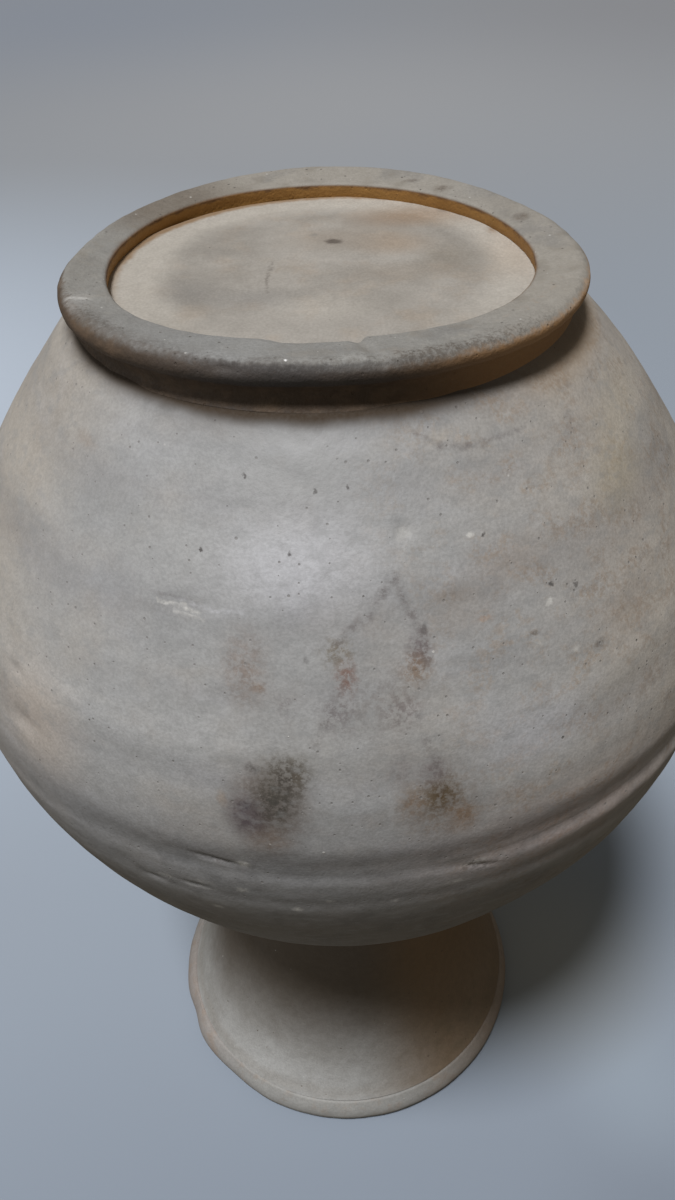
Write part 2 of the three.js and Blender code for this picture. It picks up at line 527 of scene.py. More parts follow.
@dataclass
class JarWall:
    """The collar and the four bands of the body, turned as one wall and parted at the seams."""

    trace: WallTrace
    collar_seam_height: float = 84.0 * MM
    shoulder_seam_height: float = 121.0 * MM
    belly_seam_height: float = 158.0 * MM
    heel_seam_height: float = 191.0 * MM
    seam_bevel: float = 3.0 * MM
    disc_shoulder_radius: float = 41.0 * MM
    ring_count: int = 128
    outer_step: float = 4.0 * MM
    seam_step: float = 2.2 * MM
    inner_step: float = 10.0 * MM
    levels: int = 2

    NAMES = ("neck_collar", "shoulder_band", "lower_belly_band", "upper_belly_band", "heel_band")
    FINE_BANDS = (2, 3)
    SWEEPS = (
        (213.5 * MM, 4.0 * MM, 0.12 * MM),
        (199.5 * MM, 5.5 * MM, 0.17 * MM),
        (183.2 * MM, 3.8 * MM, -0.15 * MM),
        (176.6 * MM, 3.2 * MM, 0.13 * MM),
        (140.0 * MM, 5.0 * MM, 0.2 * MM),
        (122.0 * MM, 6.0 * MM, 0.25 * MM),
        (104.0 * MM, 5.0 * MM, 0.2 * MM),
    )
    DENTS = (
        Dent(-15.8, 159.6 * MM, 5.0 * MM, 0.55 * MM, 0.6 * MM, -0.14),
        Dent(15.0, 155.4 * MM, 3.6 * MM, 0.55 * MM, 0.6 * MM, -0.3),
        Dent(-20.0, 150.6 * MM, 2.6 * MM, 0.6 * MM, 0.4 * MM),
        Dent(-26.0, 148.4 * MM, 2.0 * MM, 0.9 * MM, 0.4 * MM),
        Dent(-21.7, 199.7 * MM, 3.4 * MM, 0.6 * MM, 0.25 * MM, -0.1),
        Dent(9.6, 209.0 * MM, 1.7 * MM, 1.2 * MM, 0.35 * MM),
        Dent(-45.1, 172.3 * MM, 4.0 * MM, 2.0 * MM, 0.5 * MM),
        Dent(-47.2, 180.3 * MM, 1.5 * MM, 1.2 * MM, 0.4 * MM),
        Dent(29.6, 198.2 * MM, 0.7 * MM, 0.6 * MM, 0.3 * MM),
    )

    def outline(self) -> tuple[list[Point], list[int], list[Point]]:
        """Lays out the closed outline of the whole wall.

        Returns:
            The outline, the band number of each of its steps, and its sharp corners.
        """
        trace, line = self.trace, self.trace.line
        inner_seams = (
            self.collar_seam_height,
            self.shoulder_seam_height,
            self.belly_seam_height,
            self.heel_seam_height,
        )
        seams = [0.0, *(trace.run_at(height) for height in inner_seams), trace.length]
        last = len(inner_seams)
        points = [trace.point(0.0, line.skin_depth)]
        bands: list[int] = []
        for band in range(last + 1):
            step = self.seam_step if band in self.FINE_BANDS else self.outer_step
            stretch = trace.face(seams[band], seams[band + 1], step, True)
            points += stretch[1:]
            bands += [band] * (len(stretch) - 1)
        seat = (self.disc_shoulder_radius, line.heel_height)
        corners = [points[0], points[-1], seat]
        points.append(seat)
        bands.append(last)
        slanted = [0.0, *(seam + self.seam_bevel for seam in seams[1:-1]), trace.length]
        for band in range(last, -1, -1):
            stretch = trace.face(slanted[band + 1], slanted[band], self.inner_step, False)
            fresh = stretch if band == last else stretch[1:]
            points += fresh
            bands += [band] * len(fresh)
            if band == last:
                corners.append(stretch[0])
        corners.append(points[-1])
        points.append(points[0])
        bands.append(0)
        return points, bands, corners

    def turn(self) -> bpy.types.Object:
        """Turns the whole wall and marks its faces with the number of their band.

        Returns:
            The wall as one closed mesh.
        """
        points, bands, corners = self.outline()
        turning = Turning("jar_wall", points, self.ring_count)
        wall = turning.piece
        middles = np.array([[(a + b) / 2 for a, b in zip(p, q)] for p, q in zip(points, points[1:])])
        faces = wall.data.polygons
        centres = np.empty(len(faces) * 3, np.float32)
        faces.foreach_get("center", centres)
        centres = centres.reshape(-1, 3)
        radius = np.hypot(centres[:, 0], centres[:, 1]) / math.cos(math.pi / self.ring_count)
        apart = np.hypot(radius[:, None] - middles[:, 0], centres[:, 2:] - middles[:, 1])
        numbers = np.array(bands)[np.argmin(apart, axis=1)]
        for _ in self.NAMES:
            wall.data.materials.append(None)
        faces.foreach_set("material_index", numbers.astype(np.int32))
        turning.crease(corners)
        return turning.refined(self.levels)

    def is_outside(self, wall: bpy.types.Object) -> np.ndarray:
        """Weighs each vertex of the wall by whether it is on the outer face.

        Args:
            wall: The whole wall.

        Returns:
            An array of 0 on the inner face and 1 on the outer face.
        """
        radius, height, _ = round_of(corners_of(wall))
        outer = np.interp(height, self.trace.height, self.trace.radius)
        return smooth_step(4.0 * MM, 2.0 * MM, outer - radius)

    def sweep_relief(self, places: np.ndarray) -> np.ndarray:
        """Works out the soft bands that the potter's fingers left around the belly.

        Args:
            places: Rows of x, y, z.

        Returns:
            Depths in metres, below 0 on the raised bands.
        """
        _, height, angle = round_of(places)
        turn = np.radians(angle)
        rise = height - 2.0 * MM * np.sin(turn) - 0.8 * MM * np.sin(3.0 * turn + 0.6)
        around = 0.8 + 0.2 * np.cos(2.0 * turn - 0.9)
        return around * sum(depth * bell(rise, middle, reach) for middle, reach, depth in self.SWEEPS)

    def seam_relief(self, places: np.ndarray) -> np.ndarray:
        """Works out the grooves and the ridge where the two halves of the body were joined.

        Args:
            places: Rows of x, y, z.

        Returns:
            Depths in metres, below 0 on the ridge.
        """
        _, height, angle = round_of(places)
        up = height - self.belly_seam_height
        right = smooth_step(10.0, 40.0, angle) * smooth_step(160.0, 120.0, angle)
        left = smooth_step(-16.0, -40.0, angle) * smooth_step(-170.0, -120.0, angle)
        shelf = smooth_step(7.0 * MM, 1.5 * MM, up) * smooth_step(-3.0 * MM, 0.0, up)
        ridge = bell(up, -3.4 * MM, 2.2 * MM)
        under = bell(up, -8.2 * MM, 2.2 * MM)
        below = smooth_step(4.0 * MM, -3.0 * MM, up) * smooth_step(-60.0 * MM, -12.0 * MM, up)
        return (
            (0.42 + 0.36 * right - 0.3 * left) * MM * shelf
            - 0.28 * right * MM * ridge
            + (0.13 + 0.22 * right - 0.1 * left) * MM * under
            + 0.35 * MM * below
        )

    def heel_relief(self, places: np.ndarray) -> np.ndarray:
        """Works out the hollow pressed around the joint of the foot ring.

        Args:
            places: Rows of x, y, z.

        Returns:
            Depths in metres.
        """
        radius, height, _ = round_of(places)
        near = smooth_step(49.0 * MM, 44.6 * MM, radius)
        return 0.3 * MM * near * smooth_step(212.0 * MM, 219.0 * MM, height)

    def wave_seam(self, wall: bpy.types.Object) -> None:
        """Lets the seam rise and fall a little around the jar.

        Args:
            wall: The whole wall.
        """
        _, height, angle = round_of(corners_of(wall))
        turn = np.radians(angle)
        waver = 0.6 * MM * np.sin(turn + 0.4) + 0.3 * MM * np.sin(3 * turn + 1.1)
        shift(wall, waver * bell(height, self.belly_seam_height, 16.0 * MM), "Z")

    def work(self, wall: bpy.types.Object) -> None:
        """Gives the wall its wheel ridges, its unevenness, its seam and its knocks.

        Args:
            wall: The whole wall.
        """
        outside = self.is_outside(wall)
        Unevenness(0.4 * MM, 70 * MM, 45 * MM, 1).press(wall, outside)
        Unevenness(0.1 * MM, 150 * MM, 9 * MM).press(wall, outside)
        Unevenness(0.07 * MM, 7 * MM, 3.5 * MM).press(wall, outside)
        places = corners_of(wall)
        depths = self.seam_relief(places) + self.heel_relief(places) + self.sweep_relief(places)
        depths += sum(dent.depths(places) for dent in self.DENTS)
        carve(wall, depths * outside)
        self.wave_seam(wall)
        lean(wall)

    def part(self, wall: bpy.types.Object) -> list[bpy.types.Object]:
        """Parts the wall at its seams into closed bands.

        Args:
            wall: The whole worked wall.

        Returns:
            The bands, from the collar to the heel.
        """
        pick(wall)
        bpy.ops.mesh.separate(type="MATERIAL")
        bands = sorted(bpy.context.selected_objects, key=lambda band: corners_of(band)[:, 2].mean())
        for name, band in zip(self.NAMES, bands):
            band.name = f"{name}_clay"
            band.data.name = band.name
            self.close_seams(band)
        return bands

    def close_seams(self, band: bpy.types.Object) -> None:
        """Closes a band's open ends with the slanting faces of its seams.

        Args:
            band: A band whose ends are open.
        """
        pick(band)
        bpy.ops.object.mode_set(mode="EDIT")
        bpy.ops.mesh.select_mode(type="EDGE")
        middle = float(corners_of(band)[:, 2].mean())
        for upper in (False, True):
            bpy.ops.mesh.select_all(action="DESELECT")
            bpy.ops.mesh.select_non_manifold()
            mesh = bmesh.from_edit_mesh(band.data)
            for edge in mesh.edges:
                if edge.select and (edge.verts[0].co.z > middle) != upper:
                    edge.select_set(False)
            bmesh.update_edit_mesh(band.data)
            if any(edge.select for edge in mesh.edges):
                bpy.ops.mesh.bridge_edge_loops()
        bpy.ops.mesh.select_all(action="SELECT")
        bpy.ops.mesh.normals_make_consistent(inside=False)
        bpy.ops.object.mode_set(mode="OBJECT")
        soften(band, 50.0)

    def build(self) -> list[bpy.types.Object]:
        """Makes the five parted bands of the wall.

        Returns:
            The bands, from the collar to the heel.
        """
        wall = self.turn()
        self.work(wall)
        return self.part(wall)


# Lip, foot ring, base and the coils inside


@dataclass
class MouthLip:
    """The bead of clay that thickens the mouth, on whose narrow flat the jar stands."""

    trace: WallTrace
    mouth_radius: float = 50.6 * MM
    rim_flat_width: float = 2.0 * MM
    rim_lift: float = 0.1 * MM
    ring_count: int = 128
    levels: int = 2

    def outline(self) -> list[Point]:
        """Lays out the lip's closed outline.

        Returns:
            Radius and height pairs, from the seam's inner end round to it again.
        """
        out = self.trace.point(0.0, 0.0)[0]
        seam_in = self.trace.point(0.0, self.trace.line.collar_wall)
        edge = self.mouth_radius - 0.35 * MM
        start = self.trace.point(0.0, self.trace.line.skin_depth)
        bead = Pull(
            (out, self.rim_lift),
            (edge + 0.1 * MM, self.rim_lift),
            (edge + 0.6 * MM, 3.4 * MM),
            (start[0] + 0.6 * MM, start[1] - 0.8 * MM),
        ).points(9)
        flat = (out - self.rim_flat_width, self.rim_lift)
        return [*between(seam_in, flat, (0.0, 0.35, 0.7, 1.0)), *bead, start, seam_in]

    def build(self) -> bpy.types.Object:
        """Makes the lip with its worn and chipped edge.

        Returns:
            The lip's mesh object.
        """
        lip = Turning("mouth_lip_clay", self.outline(), self.ring_count).refined(self.levels)
        Unevenness(0.18 * MM, 9 * MM, 9 * MM).press(lip)
        radius, _, angle = round_of(corners_of(lip))
        edge = smooth_step(46.8 * MM, 49.0 * MM, radius)
        chip = bell(angle, -71.0, 6.0) + 0.3 * bell(angle, -40.0, 9.0)
        swell = smooth_step(-45.0, -62.0, angle) * smooth_step(-150.0, -115.0, angle)
        widen(lip, edge * (0.9 * swell - 0.8 * chip) * MM)
        lean(lip)
        soften(lip, 60.0)
        return lip


@dataclass
class FootRing:
    """The splayed ring luted on around the base, worn and a little three-sided."""

    heel_height: float = 224.5 * MM
    recess_radius: float = 38.0 * MM
    outer_radius: float = 46.1 * MM
    inner_radius: float = 37.3 * MM
    waist_radius: float = 43.1 * MM
    skirt_reach: float = 1.9 * MM
    skirt_drop: float = 2.2 * MM
    top: float = 231.0 * MM
    inner_top: float = 230.2 * MM
    outer_rounding: float = 2.2 * MM
    inner_rounding: float = 0.9 * MM
    outer_lobes: tuple[Lobe, ...] = (
        Lobe(1, 0.3 * MM, 0.0),
        Lobe(2, 1.05 * MM, 12.0),
        Lobe(3, 1.4 * MM, 63.0),
    )
    inner_lobes: tuple[Lobe, ...] = (
        Lobe(1, 0.4 * MM, -90.0),
        Lobe(2, 0.5 * MM, 45.0),
        Lobe(3, 0.7 * MM, 65.0),
        Lobe(4, 0.4 * MM, 45.0),
    )
    nicks: tuple[Dent, ...] = (
        Dent(-18.0, 230.0 * MM, 2.4 * MM, 1.0 * MM, 0.5 * MM),
        Dent(27.0, 230.4 * MM, 3.0 * MM, 0.8 * MM, 0.35 * MM),
        Dent(67.0, 230.6 * MM, 1.5 * MM, 1.5 * MM, 0.3 * MM),
    )
    ring_count: int = 128
    levels: int = 2

    def outline(self) -> list[Point]:
        """Lays out the ring's closed outline.

        Returns:
            Radius and height pairs, from the recess under the ring and round it.
        """
        bottom, waist = self.heel_height, self.waist_radius
        edge_out = (self.outer_radius - self.outer_rounding, self.top - self.outer_rounding)
        edge_in = (self.inner_radius + self.inner_rounding, self.inner_top - self.inner_rounding)
        round_out = arc(edge_out, self.outer_rounding, -40.0, 84.0, 5)
        round_in = arc(edge_in, self.inner_rounding, 84.0, 180.0, 4)
        under = Pull(
            (waist + self.skirt_reach, bottom - self.skirt_drop),
            (waist + 0.2 * MM, bottom - 0.5 * MM),
            (waist, bottom + 1.9 * MM),
            round_out[0],
        ).points(8)
        flat = between(round_out[-1], round_in[0], (0.2, 0.4, 0.6, 0.8))
        floor_in = (self.recess_radius, bottom)
        wall_in = between(round_in[-1], floor_in, (1 / 3, 2 / 3))
        seat = [(self.recess_radius + 3.0 * MM, bottom), (waist - 0.6 * MM, bottom)]
        return [floor_in, *seat, *under, *round_out[1:], *flat, *round_in, *wall_in, floor_in]

    def build(self) -> bpy.types.Object:
        """Makes the ring with its three-sided outline, wear and chips.

        Returns:
            The ring's mesh object.
        """
        turning = Turning("foot_ring_clay", self.outline(), self.ring_count)
        turning.crease([(self.recess_radius, self.heel_height)])
        ring = turning.refined(self.levels)
        radius, height, angle = round_of(corners_of(ring))
        free = smooth_step(self.heel_height - MM, self.heel_height + 3.5 * MM, height)
        outer = smooth_step(39.5 * MM, 45.0 * MM, radius)
        top = smooth_step(self.top - 1.8 * MM, self.top - 0.7 * MM, height)
        around = sum(lobe.lengths(angle) for lobe in self.outer_lobes)
        hole = sum(lobe.lengths(angle) for lobe in self.inner_lobes)
        hole -= MM * bell(angle, 0.0, 48.0)
        widen(ring, free * (outer * around + (1.0 - outer) * hole))
        dips = 0.16 * MM * (np.cos(np.radians(2 * angle + 60.0)) - 1.0)
        shift(ring, top * dips, "Z")
        inner = smooth_step(39.6 * MM, 37.6 * MM, radius)
        worn = smooth_step(-16.0, -3.0, angle) * smooth_step(10.5, 8.0, angle)
        shift(ring, -1.2 * MM * worn * inner * free, "Z")
        joint = (angle - 9.5) * 0.8 + (43.0 * MM - radius) / (2.4 * MM)
        shift(ring, -0.4 * MM * bell(joint, 0.0, 1.0) * top, "Z")
        Unevenness(0.2 * MM, 13 * MM, 13 * MM).press(ring, free)
        Unevenness(0.07 * MM, 2.4 * MM, 2.4 * MM).press(ring, free)
        places = corners_of(ring)
        carve(ring, outer * sum(nick.depths(places) for nick in self.nicks))
        lean(ring)
        soften(ring, 60.0)
        return ring


@dataclass
class BaseDisc:
    """The disc that closes the pot, sunk inside the foot ring."""

    floor_height: float = 227.1 * MM
    thickness: float = 6.5 * MM
    recess_radius: float = 38.0 * MM
    shoulder_radius: float = 40.7 * MM
    under_radius: float = 39.3 * MM
    heel_height: float = 224.5 * MM
    hub_radius: float = 1.5 * MM
    ring_count: int = 96
    levels: int = 2

    def corners(self) -> list[Point]:
        """Lists the disc's sharp corners.

        Returns:
            Radius and height pairs, from its underside to the recess.
        """
        return [
            (self.under_radius, self.floor_height - self.thickness),
            (self.shoulder_radius, self.heel_height),
            (self.recess_radius, self.heel_height),
        ]

    def outline(self) -> list[Point]:
        """Lays out the disc's outline.

        Returns:
            Radius and height pairs, from the middle of its underside to the middle of its floor.
        """
        under, floor, recess = self.floor_height - self.thickness, self.floor_height, self.recess_radius
        fillet = Pull(
            (recess - 0.15 * MM, floor + 0.35 * MM),
            (recess - 0.5 * MM, floor + 0.1 * MM),
            (recess - 1.4 * MM, floor),
            (recess - 2.8 * MM, floor),
        ).points(4)
        below = [(r * MM, under) for r in (8.0, 20.0, 32.0)]
        rows = [(r * MM, floor) for r in (31.0, 28.0, 24.0, 20.0, 16.0, 12.0, 8.0, 4.0)]
        hub = self.hub_radius
        return [(hub, under), *below, *self.corners(), *fillet, *rows, (hub, floor)]

    def build(self) -> bpy.types.Object:
        """Makes the disc with its shallow finger ring and uneven floor.

        Returns:
            The disc's mesh object.
        """
        turning = Turning("base_disc_clay", self.outline(), self.ring_count, Pole.BOTH)
        turning.crease(self.corners())
        disc = turning.refined(self.levels)
        radius, height, _ = round_of(corners_of(disc))
        floor = smooth_step(self.floor_height - MM, self.floor_height - 0.5 * MM, height)
        ring = bell(radius, 32.0 * MM, 1.6 * MM)
        hollow = smooth_step(32.0 * MM, 10.0 * MM, radius)
        carve(disc, floor * (0.18 * MM * ring + 0.25 * MM * hollow))
        Unevenness(0.3 * MM, 22 * MM, 22 * MM).press(disc, floor)
        Unevenness(0.06 * MM, 3 * MM, 3 * MM).press(disc, floor)
        angle = round_of(corners_of(disc))[2]
        near = bell(angle, 1.0, 11.0) * smooth_step(31.0 * MM, 37.0 * MM, radius)
        shift(disc, 1.5 * MM * near * floor, "Z")
        lean(disc)
        soften(disc, 60.0)
        return disc


@dataclass
class JointCoil:
    """A roll of clay smeared over a seam from inside the jar."""

    name: str
    trace: WallTrace
    seam_height: float
    seam_bevel: float = 3.0 * MM
    width: float = 16.0 * MM
    thickness: float = 2.6 * MM
    slip: float = 0.3 * MM
    ring_count: int = 96
    levels: int = 1
    steps: int = 8

    def outline(self) -> list[Point]:
        """Lays out the coil's closed outline.

        Returns:
            Radius and height pairs: its bed on the wall, then its crown.
        """
        middle = self.trace.run_at(self.seam_height) + self.seam_bevel
        bed: list[Point] = []
        crown: list[Point] = []
        for i in range(self.steps + 1):
            across = 2.0 * i / self.steps - 1.0
            run = middle + across * self.width / 2
            depth = self.trace.wall_at(run) + self.slip
            bed.append(self.trace.point(run, depth))
            crown.append(self.trace.point(run, depth + self.thickness * (1.0 - across * across)))
        return [*bed, *reversed(crown[1:-1]), bed[0]]

    def build(self) -> bpy.types.Object:
        """Makes the coil with the potter's finger marks.

        Returns:
            The coil's mesh object.
        """
        turning = Turning(f"{self.name}_clay", self.outline(), self.ring_count)
        coil = turning.refined(self.levels)
        Unevenness(0.5 * MM, 11 * MM, 7 * MM, 1).press(coil)
        soften(coil, 60.0)
        return coil


# Fired clay finishes


class Wiring:
    """Adds shader nodes to one tree and joins them."""

    def __init__(self, tree: bpy.types.NodeTree) -> None:
        """Keeps the node tree of a material, a world or a group."""
        self.tree = tree

    def feed(self, socket: Socket, value: Feed) -> None:
        """Joins a socket to another one, or sets its value.

        Args:
            socket: The input to fill.
            value: A socket, a number, a vector or a colour.
        """
        if isinstance(value, Socket):
            self.tree.links.new(value, socket)
        elif socket.type == "RGBA":
            socket.default_value = (*value[:3], 1.0)
        else:
            socket.default_value = value

    def add(self, kind: str, *feeds: Feed, **settings: str | float | bool) -> bpy.types.Node:
        """Adds a node.

        Args:
            kind: The node's type.
            feeds: What its first inputs get, in order.
            settings: The node's own options.

        Returns:
            The node.
        """
        node = self.tree.nodes.new(kind)
        for name, setting in settings.items():
            setattr(node, name, setting)
        for socket, value in zip(node.inputs, feeds):
            self.feed(socket, value)
        return node

    def sum(self, operation: str, *feeds: Feed) -> Socket:
        """Works out one sum of up to three numbers."""
        return self.add("ShaderNodeMath", *feeds, operation=operation).outputs[0]

    def vector(self, operation: str, *feeds: Feed, output: int = 0) -> Socket:
        """Works out one sum of vectors."""
        return self.add("ShaderNodeVectorMath", *feeds, operation=operation).outputs[output]

    def scaled(self, vector: Feed, factor: Feed) -> Socket:
        """Scales a vector by a number."""
        return self.vector("SCALE", vector, ORIGIN, ORIGIN, factor)

    def ease(self, value: Feed, low: Feed, high: Feed) -> Socket:
        """Eases from 0 where the value is low to 1 where it is high."""
        options = {"interpolation_type": "SMOOTHSTEP"}
        return self.add("ShaderNodeMapRange", value, low, high, **options).outputs[0]

    def blend(self, share: Feed, first: Feed, second: Feed, mode: str = "MIX") -> Socket:
        """Mixes a colour into another one.

        Args:
            share: How much of the second colour.
            first: The colour beneath.
            second: The colour on top.
            mode: How the two are mixed.

        Returns:
            The mixed colour.
        """
        node = self.add("ShaderNodeMix", data_type="RGBA", blend_type=mode)
        self.feed(node.inputs["Factor"], share)
        for socket, value in zip([s for s in node.inputs if s.type == "RGBA"], (first, second)):
            self.feed(socket, value)
        return next(s for s in node.outputs if s.type == "RGBA")

    def noise(self, place: Feed, scale: Feed, detail: float, roughness: float) -> bpy.types.Node:
        """Adds a cloudy pattern.

        Args:
            place: Where the pattern is read.
            scale: How many clouds lie in one unit.
            detail: How many finer layers it has.
            roughness: How strong the finer layers are.

        Returns:
            The node, with a number and a colour.
        """
        node = self.add("ShaderNodeTexNoise", place)
        for name, value in (("Scale", scale), ("Detail", detail), ("Roughness", roughness)):
            self.feed(node.inputs[name], value)
        return node


class Effect:
    """A node group with named sockets, built once and placed in every finish that uses it."""

    NAME = ""
    INPUTS: dict[str, float | Place] = {}
    OUTPUTS: tuple[str, ...] = ("Share",)
    OUTPUT_KIND = "NodeSocketFloat"

    def __init__(self) -> None:
        """Opens the group with its sockets and wires it."""
        self.tree = bpy.data.node_groups.new(self.NAME, "ShaderNodeTree")
        for name, value in {"Place": ORIGIN, **self.INPUTS}.items():
            kind = "NodeSocketVector" if isinstance(value, tuple) else "NodeSocketFloat"
            socket = self.tree.interface.new_socket(name=name, in_out="INPUT", socket_type=kind)
            socket.default_value = value
        for name in self.OUTPUTS:
            self.tree.interface.new_socket(name=name, in_out="OUTPUT", socket_type=self.OUTPUT_KIND)
        self.wiring = Wiring(self.tree)
        self.given = self.tree.nodes.new("NodeGroupInput").outputs
        result = self.tree.nodes.new("NodeGroupOutput").inputs
        for socket, value in zip(result, self.results()):
            self.wiring.feed(socket, value)

    def results(self) -> tuple[Socket, ...]:
        """Works out what the group's outputs get, in order."""
        raise NotImplementedError

    def place(self, wiring: Wiring, **feeds: Feed) -> bpy.types.NodeOutputs:
        """Places the group in a tree.

        Args:
            wiring: The tree's wiring.
            feeds: What the named inputs get, in lower case.

        Returns:
            The group's outputs.
        """
        node = wiring.add("ShaderNodeGroup", node_tree=self.tree)
        for socket, value in feeds.items():
            wiring.feed(node.inputs[socket.capitalize()], value)
        return node.outputs


class RaggedPlace(Effect):
    """Shakes a place, so that the edges of what is drawn there become ragged."""

    NAME = "ragged_place"
    INPUTS = {"Reach": 1.0, "Grain": 1.0}
    OUTPUTS = ("Place",)
    OUTPUT_KIND = "NodeSocketVector"

    def results(self) -> tuple[Socket, ...]:
        """Adds a cloudy shake to the place.

        Returns:
            The shaken place.
        """
        given, wiring = self.given, self.wiring
        clouds = wiring.noise(given["Place"], given["Grain"], 3.0, 0.6).outputs[1]
        shake = wiring.scaled(wiring.vector("SUBTRACT", clouds, (0.5, 0.5, 0.5)), given["Reach"])
        return (wiring.vector("ADD", given["Place"], shake),)


class Blot(Effect):
    """A stain around one place."""

    NAME = "blot"
    INPUTS = {"Centre": ORIGIN, "Size": (1.0, 1.0, 1.0), "Core": 0.3, "Amount": 1.0}

    def results(self) -> tuple[Socket, ...]:
        """Fades the stain from its core to its edge.

        Returns:
            The stain's share.
        """
        given, wiring = self.given, self.wiring
        apart = wiring.vector("SUBTRACT", given["Place"], given["Centre"])
        reach = wiring.vector("LENGTH", wiring.vector("DIVIDE", apart, given["Size"]), output=1)
        return (wiring.sum("MULTIPLY", wiring.ease(reach, 1.0, given["Core"]), given["Amount"]),)


class DrawnLine(Effect):
    """A line between two places on the front, as a crack, a scratch or a tide mark is."""

    NAME = "drawn_line"
    INPUTS = {"Start": ORIGIN, "End": (0.0, 0.0, 1.0), "Width": 0.5, "Amount": 1.0}
    FLATTEN = (1.0, 0.2, 1.0)

    def results(self) -> tuple[Socket, ...]:
        """Fades the line with the distance from its nearest point.

        Returns:
            The line's share.
        """
        given, wiring = self.given, self.wiring
        run, apart = (
            wiring.vector("MULTIPLY", wiring.vector("SUBTRACT", end, given["Start"]), self.FLATTEN)
            for end in (given["End"], given["Place"])
        )
        along = wiring.vector("DOT_PRODUCT", apart, run, output=1)
        whole = wiring.vector("DOT_PRODUCT", run, run, output=1)
        part = wiring.add("ShaderNodeClamp", wiring.sum("DIVIDE", along, whole)).outputs[0]
        off = wiring.vector("SUBTRACT", apart, wiring.scaled(run, part))
        reach = wiring.vector("LENGTH", off, output=1)
        return (wiring.sum("MULTIPLY", wiring.ease(reach, given["Width"], 0.0), given["Amount"]),)


class ToneClouds(Effect):
    """Soft clouds of another tone, wide or drawn out along the wheel's turn."""

    NAME = "tone_clouds"
    INPUTS = {"Span": 10.0, "Flatness": 1.0, "Slant": 0.0, "Low": 0.4, "High": 0.7}

    def results(self) -> tuple[Socket, ...]:
        """Reads the clouds at the slanted and flattened place.

        Returns:
            The clouds' share.
        """
        given, wiring = self.given, self.wiring
        across, deep, up = wiring.add("ShaderNodeSeparateXYZ", given["Place"]).outputs
        lift = wiring.sum("MULTIPLY", across, given["Slant"])
        height = wiring.sum("MULTIPLY", wiring.sum("ADD", up, lift), given["Flatness"])
        flat = wiring.add("ShaderNodeCombineXYZ", across, deep, height).outputs[0]
        clouds = wiring.noise(flat, wiring.sum("DIVIDE", 1.0, given["Span"]), 4.0, 0.6)
        return (wiring.ease(clouds.outputs[0], given["Low"], given["High"]),)


class Grit(Effect):
    """Grains or pits scattered over the clay."""

    NAME = "grit"
    INPUTS = {"Spacing": 3.0, "Size": 0.3, "Cover": 0.2}

    def results(self) -> tuple[Socket, ...]:
        """Draws a spot in the chosen cells, each of its own size.

        Returns:
            The spots' share.
        """
        given, wiring = self.given, self.wiring
        cells = wiring.add("ShaderNodeTexVoronoi", given["Place"])
        wiring.feed(cells.inputs["Scale"], wiring.sum("DIVIDE", 1.0, given["Spacing"]))
        reach = wiring.sum("MULTIPLY", cells.outputs["Distance"], given["Spacing"])
        choice, growth, _ = wiring.add("ShaderNodeSeparateColor", cells.outputs["Color"]).outputs
        size = wiring.sum("MULTIPLY", given["Size"], wiring.sum("ADD", growth, 0.5))
        spot = wiring.ease(reach, size, wiring.sum("MULTIPLY", size, 0.5))
        chosen = wiring.sum("LESS_THAN", choice, given["Cover"])
        return (wiring.sum("MULTIPLY", spot, chosen),)


class RoundPlace(Effect):
    """Splits a place into its radius, its turn from the front and its height."""

    NAME = "round_place"
    OUTPUTS = ("Radius", "Turn", "Height")

    def results(self) -> tuple[Socket, ...]:
        """Works out the radius, the turn in degrees and the height.

        Returns:
            The three numbers, in that order.
        """
        wiring = self.wiring
        across, deep, up = wiring.add("ShaderNodeSeparateXYZ", self.given["Place"]).outputs
        level = wiring.vector("MULTIPLY", self.given["Place"], (1.0, 1.0, 0.0))
        turn = wiring.sum("ARCTAN2", across, wiring.sum("MULTIPLY", deep, -1.0))
        return wiring.vector("LENGTH", level, output=1), wiring.sum("DEGREES", turn), up


class Effects:
    """Every node group that the finishes share."""

    def __init__(self) -> None:
        """Builds each group once."""
        self.ragged = RaggedPlace()
        self.blot = Blot()
        self.line = DrawnLine()
        self.clouds = ToneClouds()
        self.grit = Grit()
        self.round = RoundPlace()


@dataclass(frozen=True)
class Stain:
    """A stain, chip or spot, by its place and half size in millimetres."""

    place: Place
    size: Place
    colour: Colour
    amount: float
    core: float = 0.2
    speckle: float = 0.3


@dataclass(frozen=True)
class Scratch:
    """A scratch, crack or tide mark along a run of places in millimetres."""

    places: tuple[Place, ...]
    width: float
    colour: Colour
    amount: float
    speckle: float


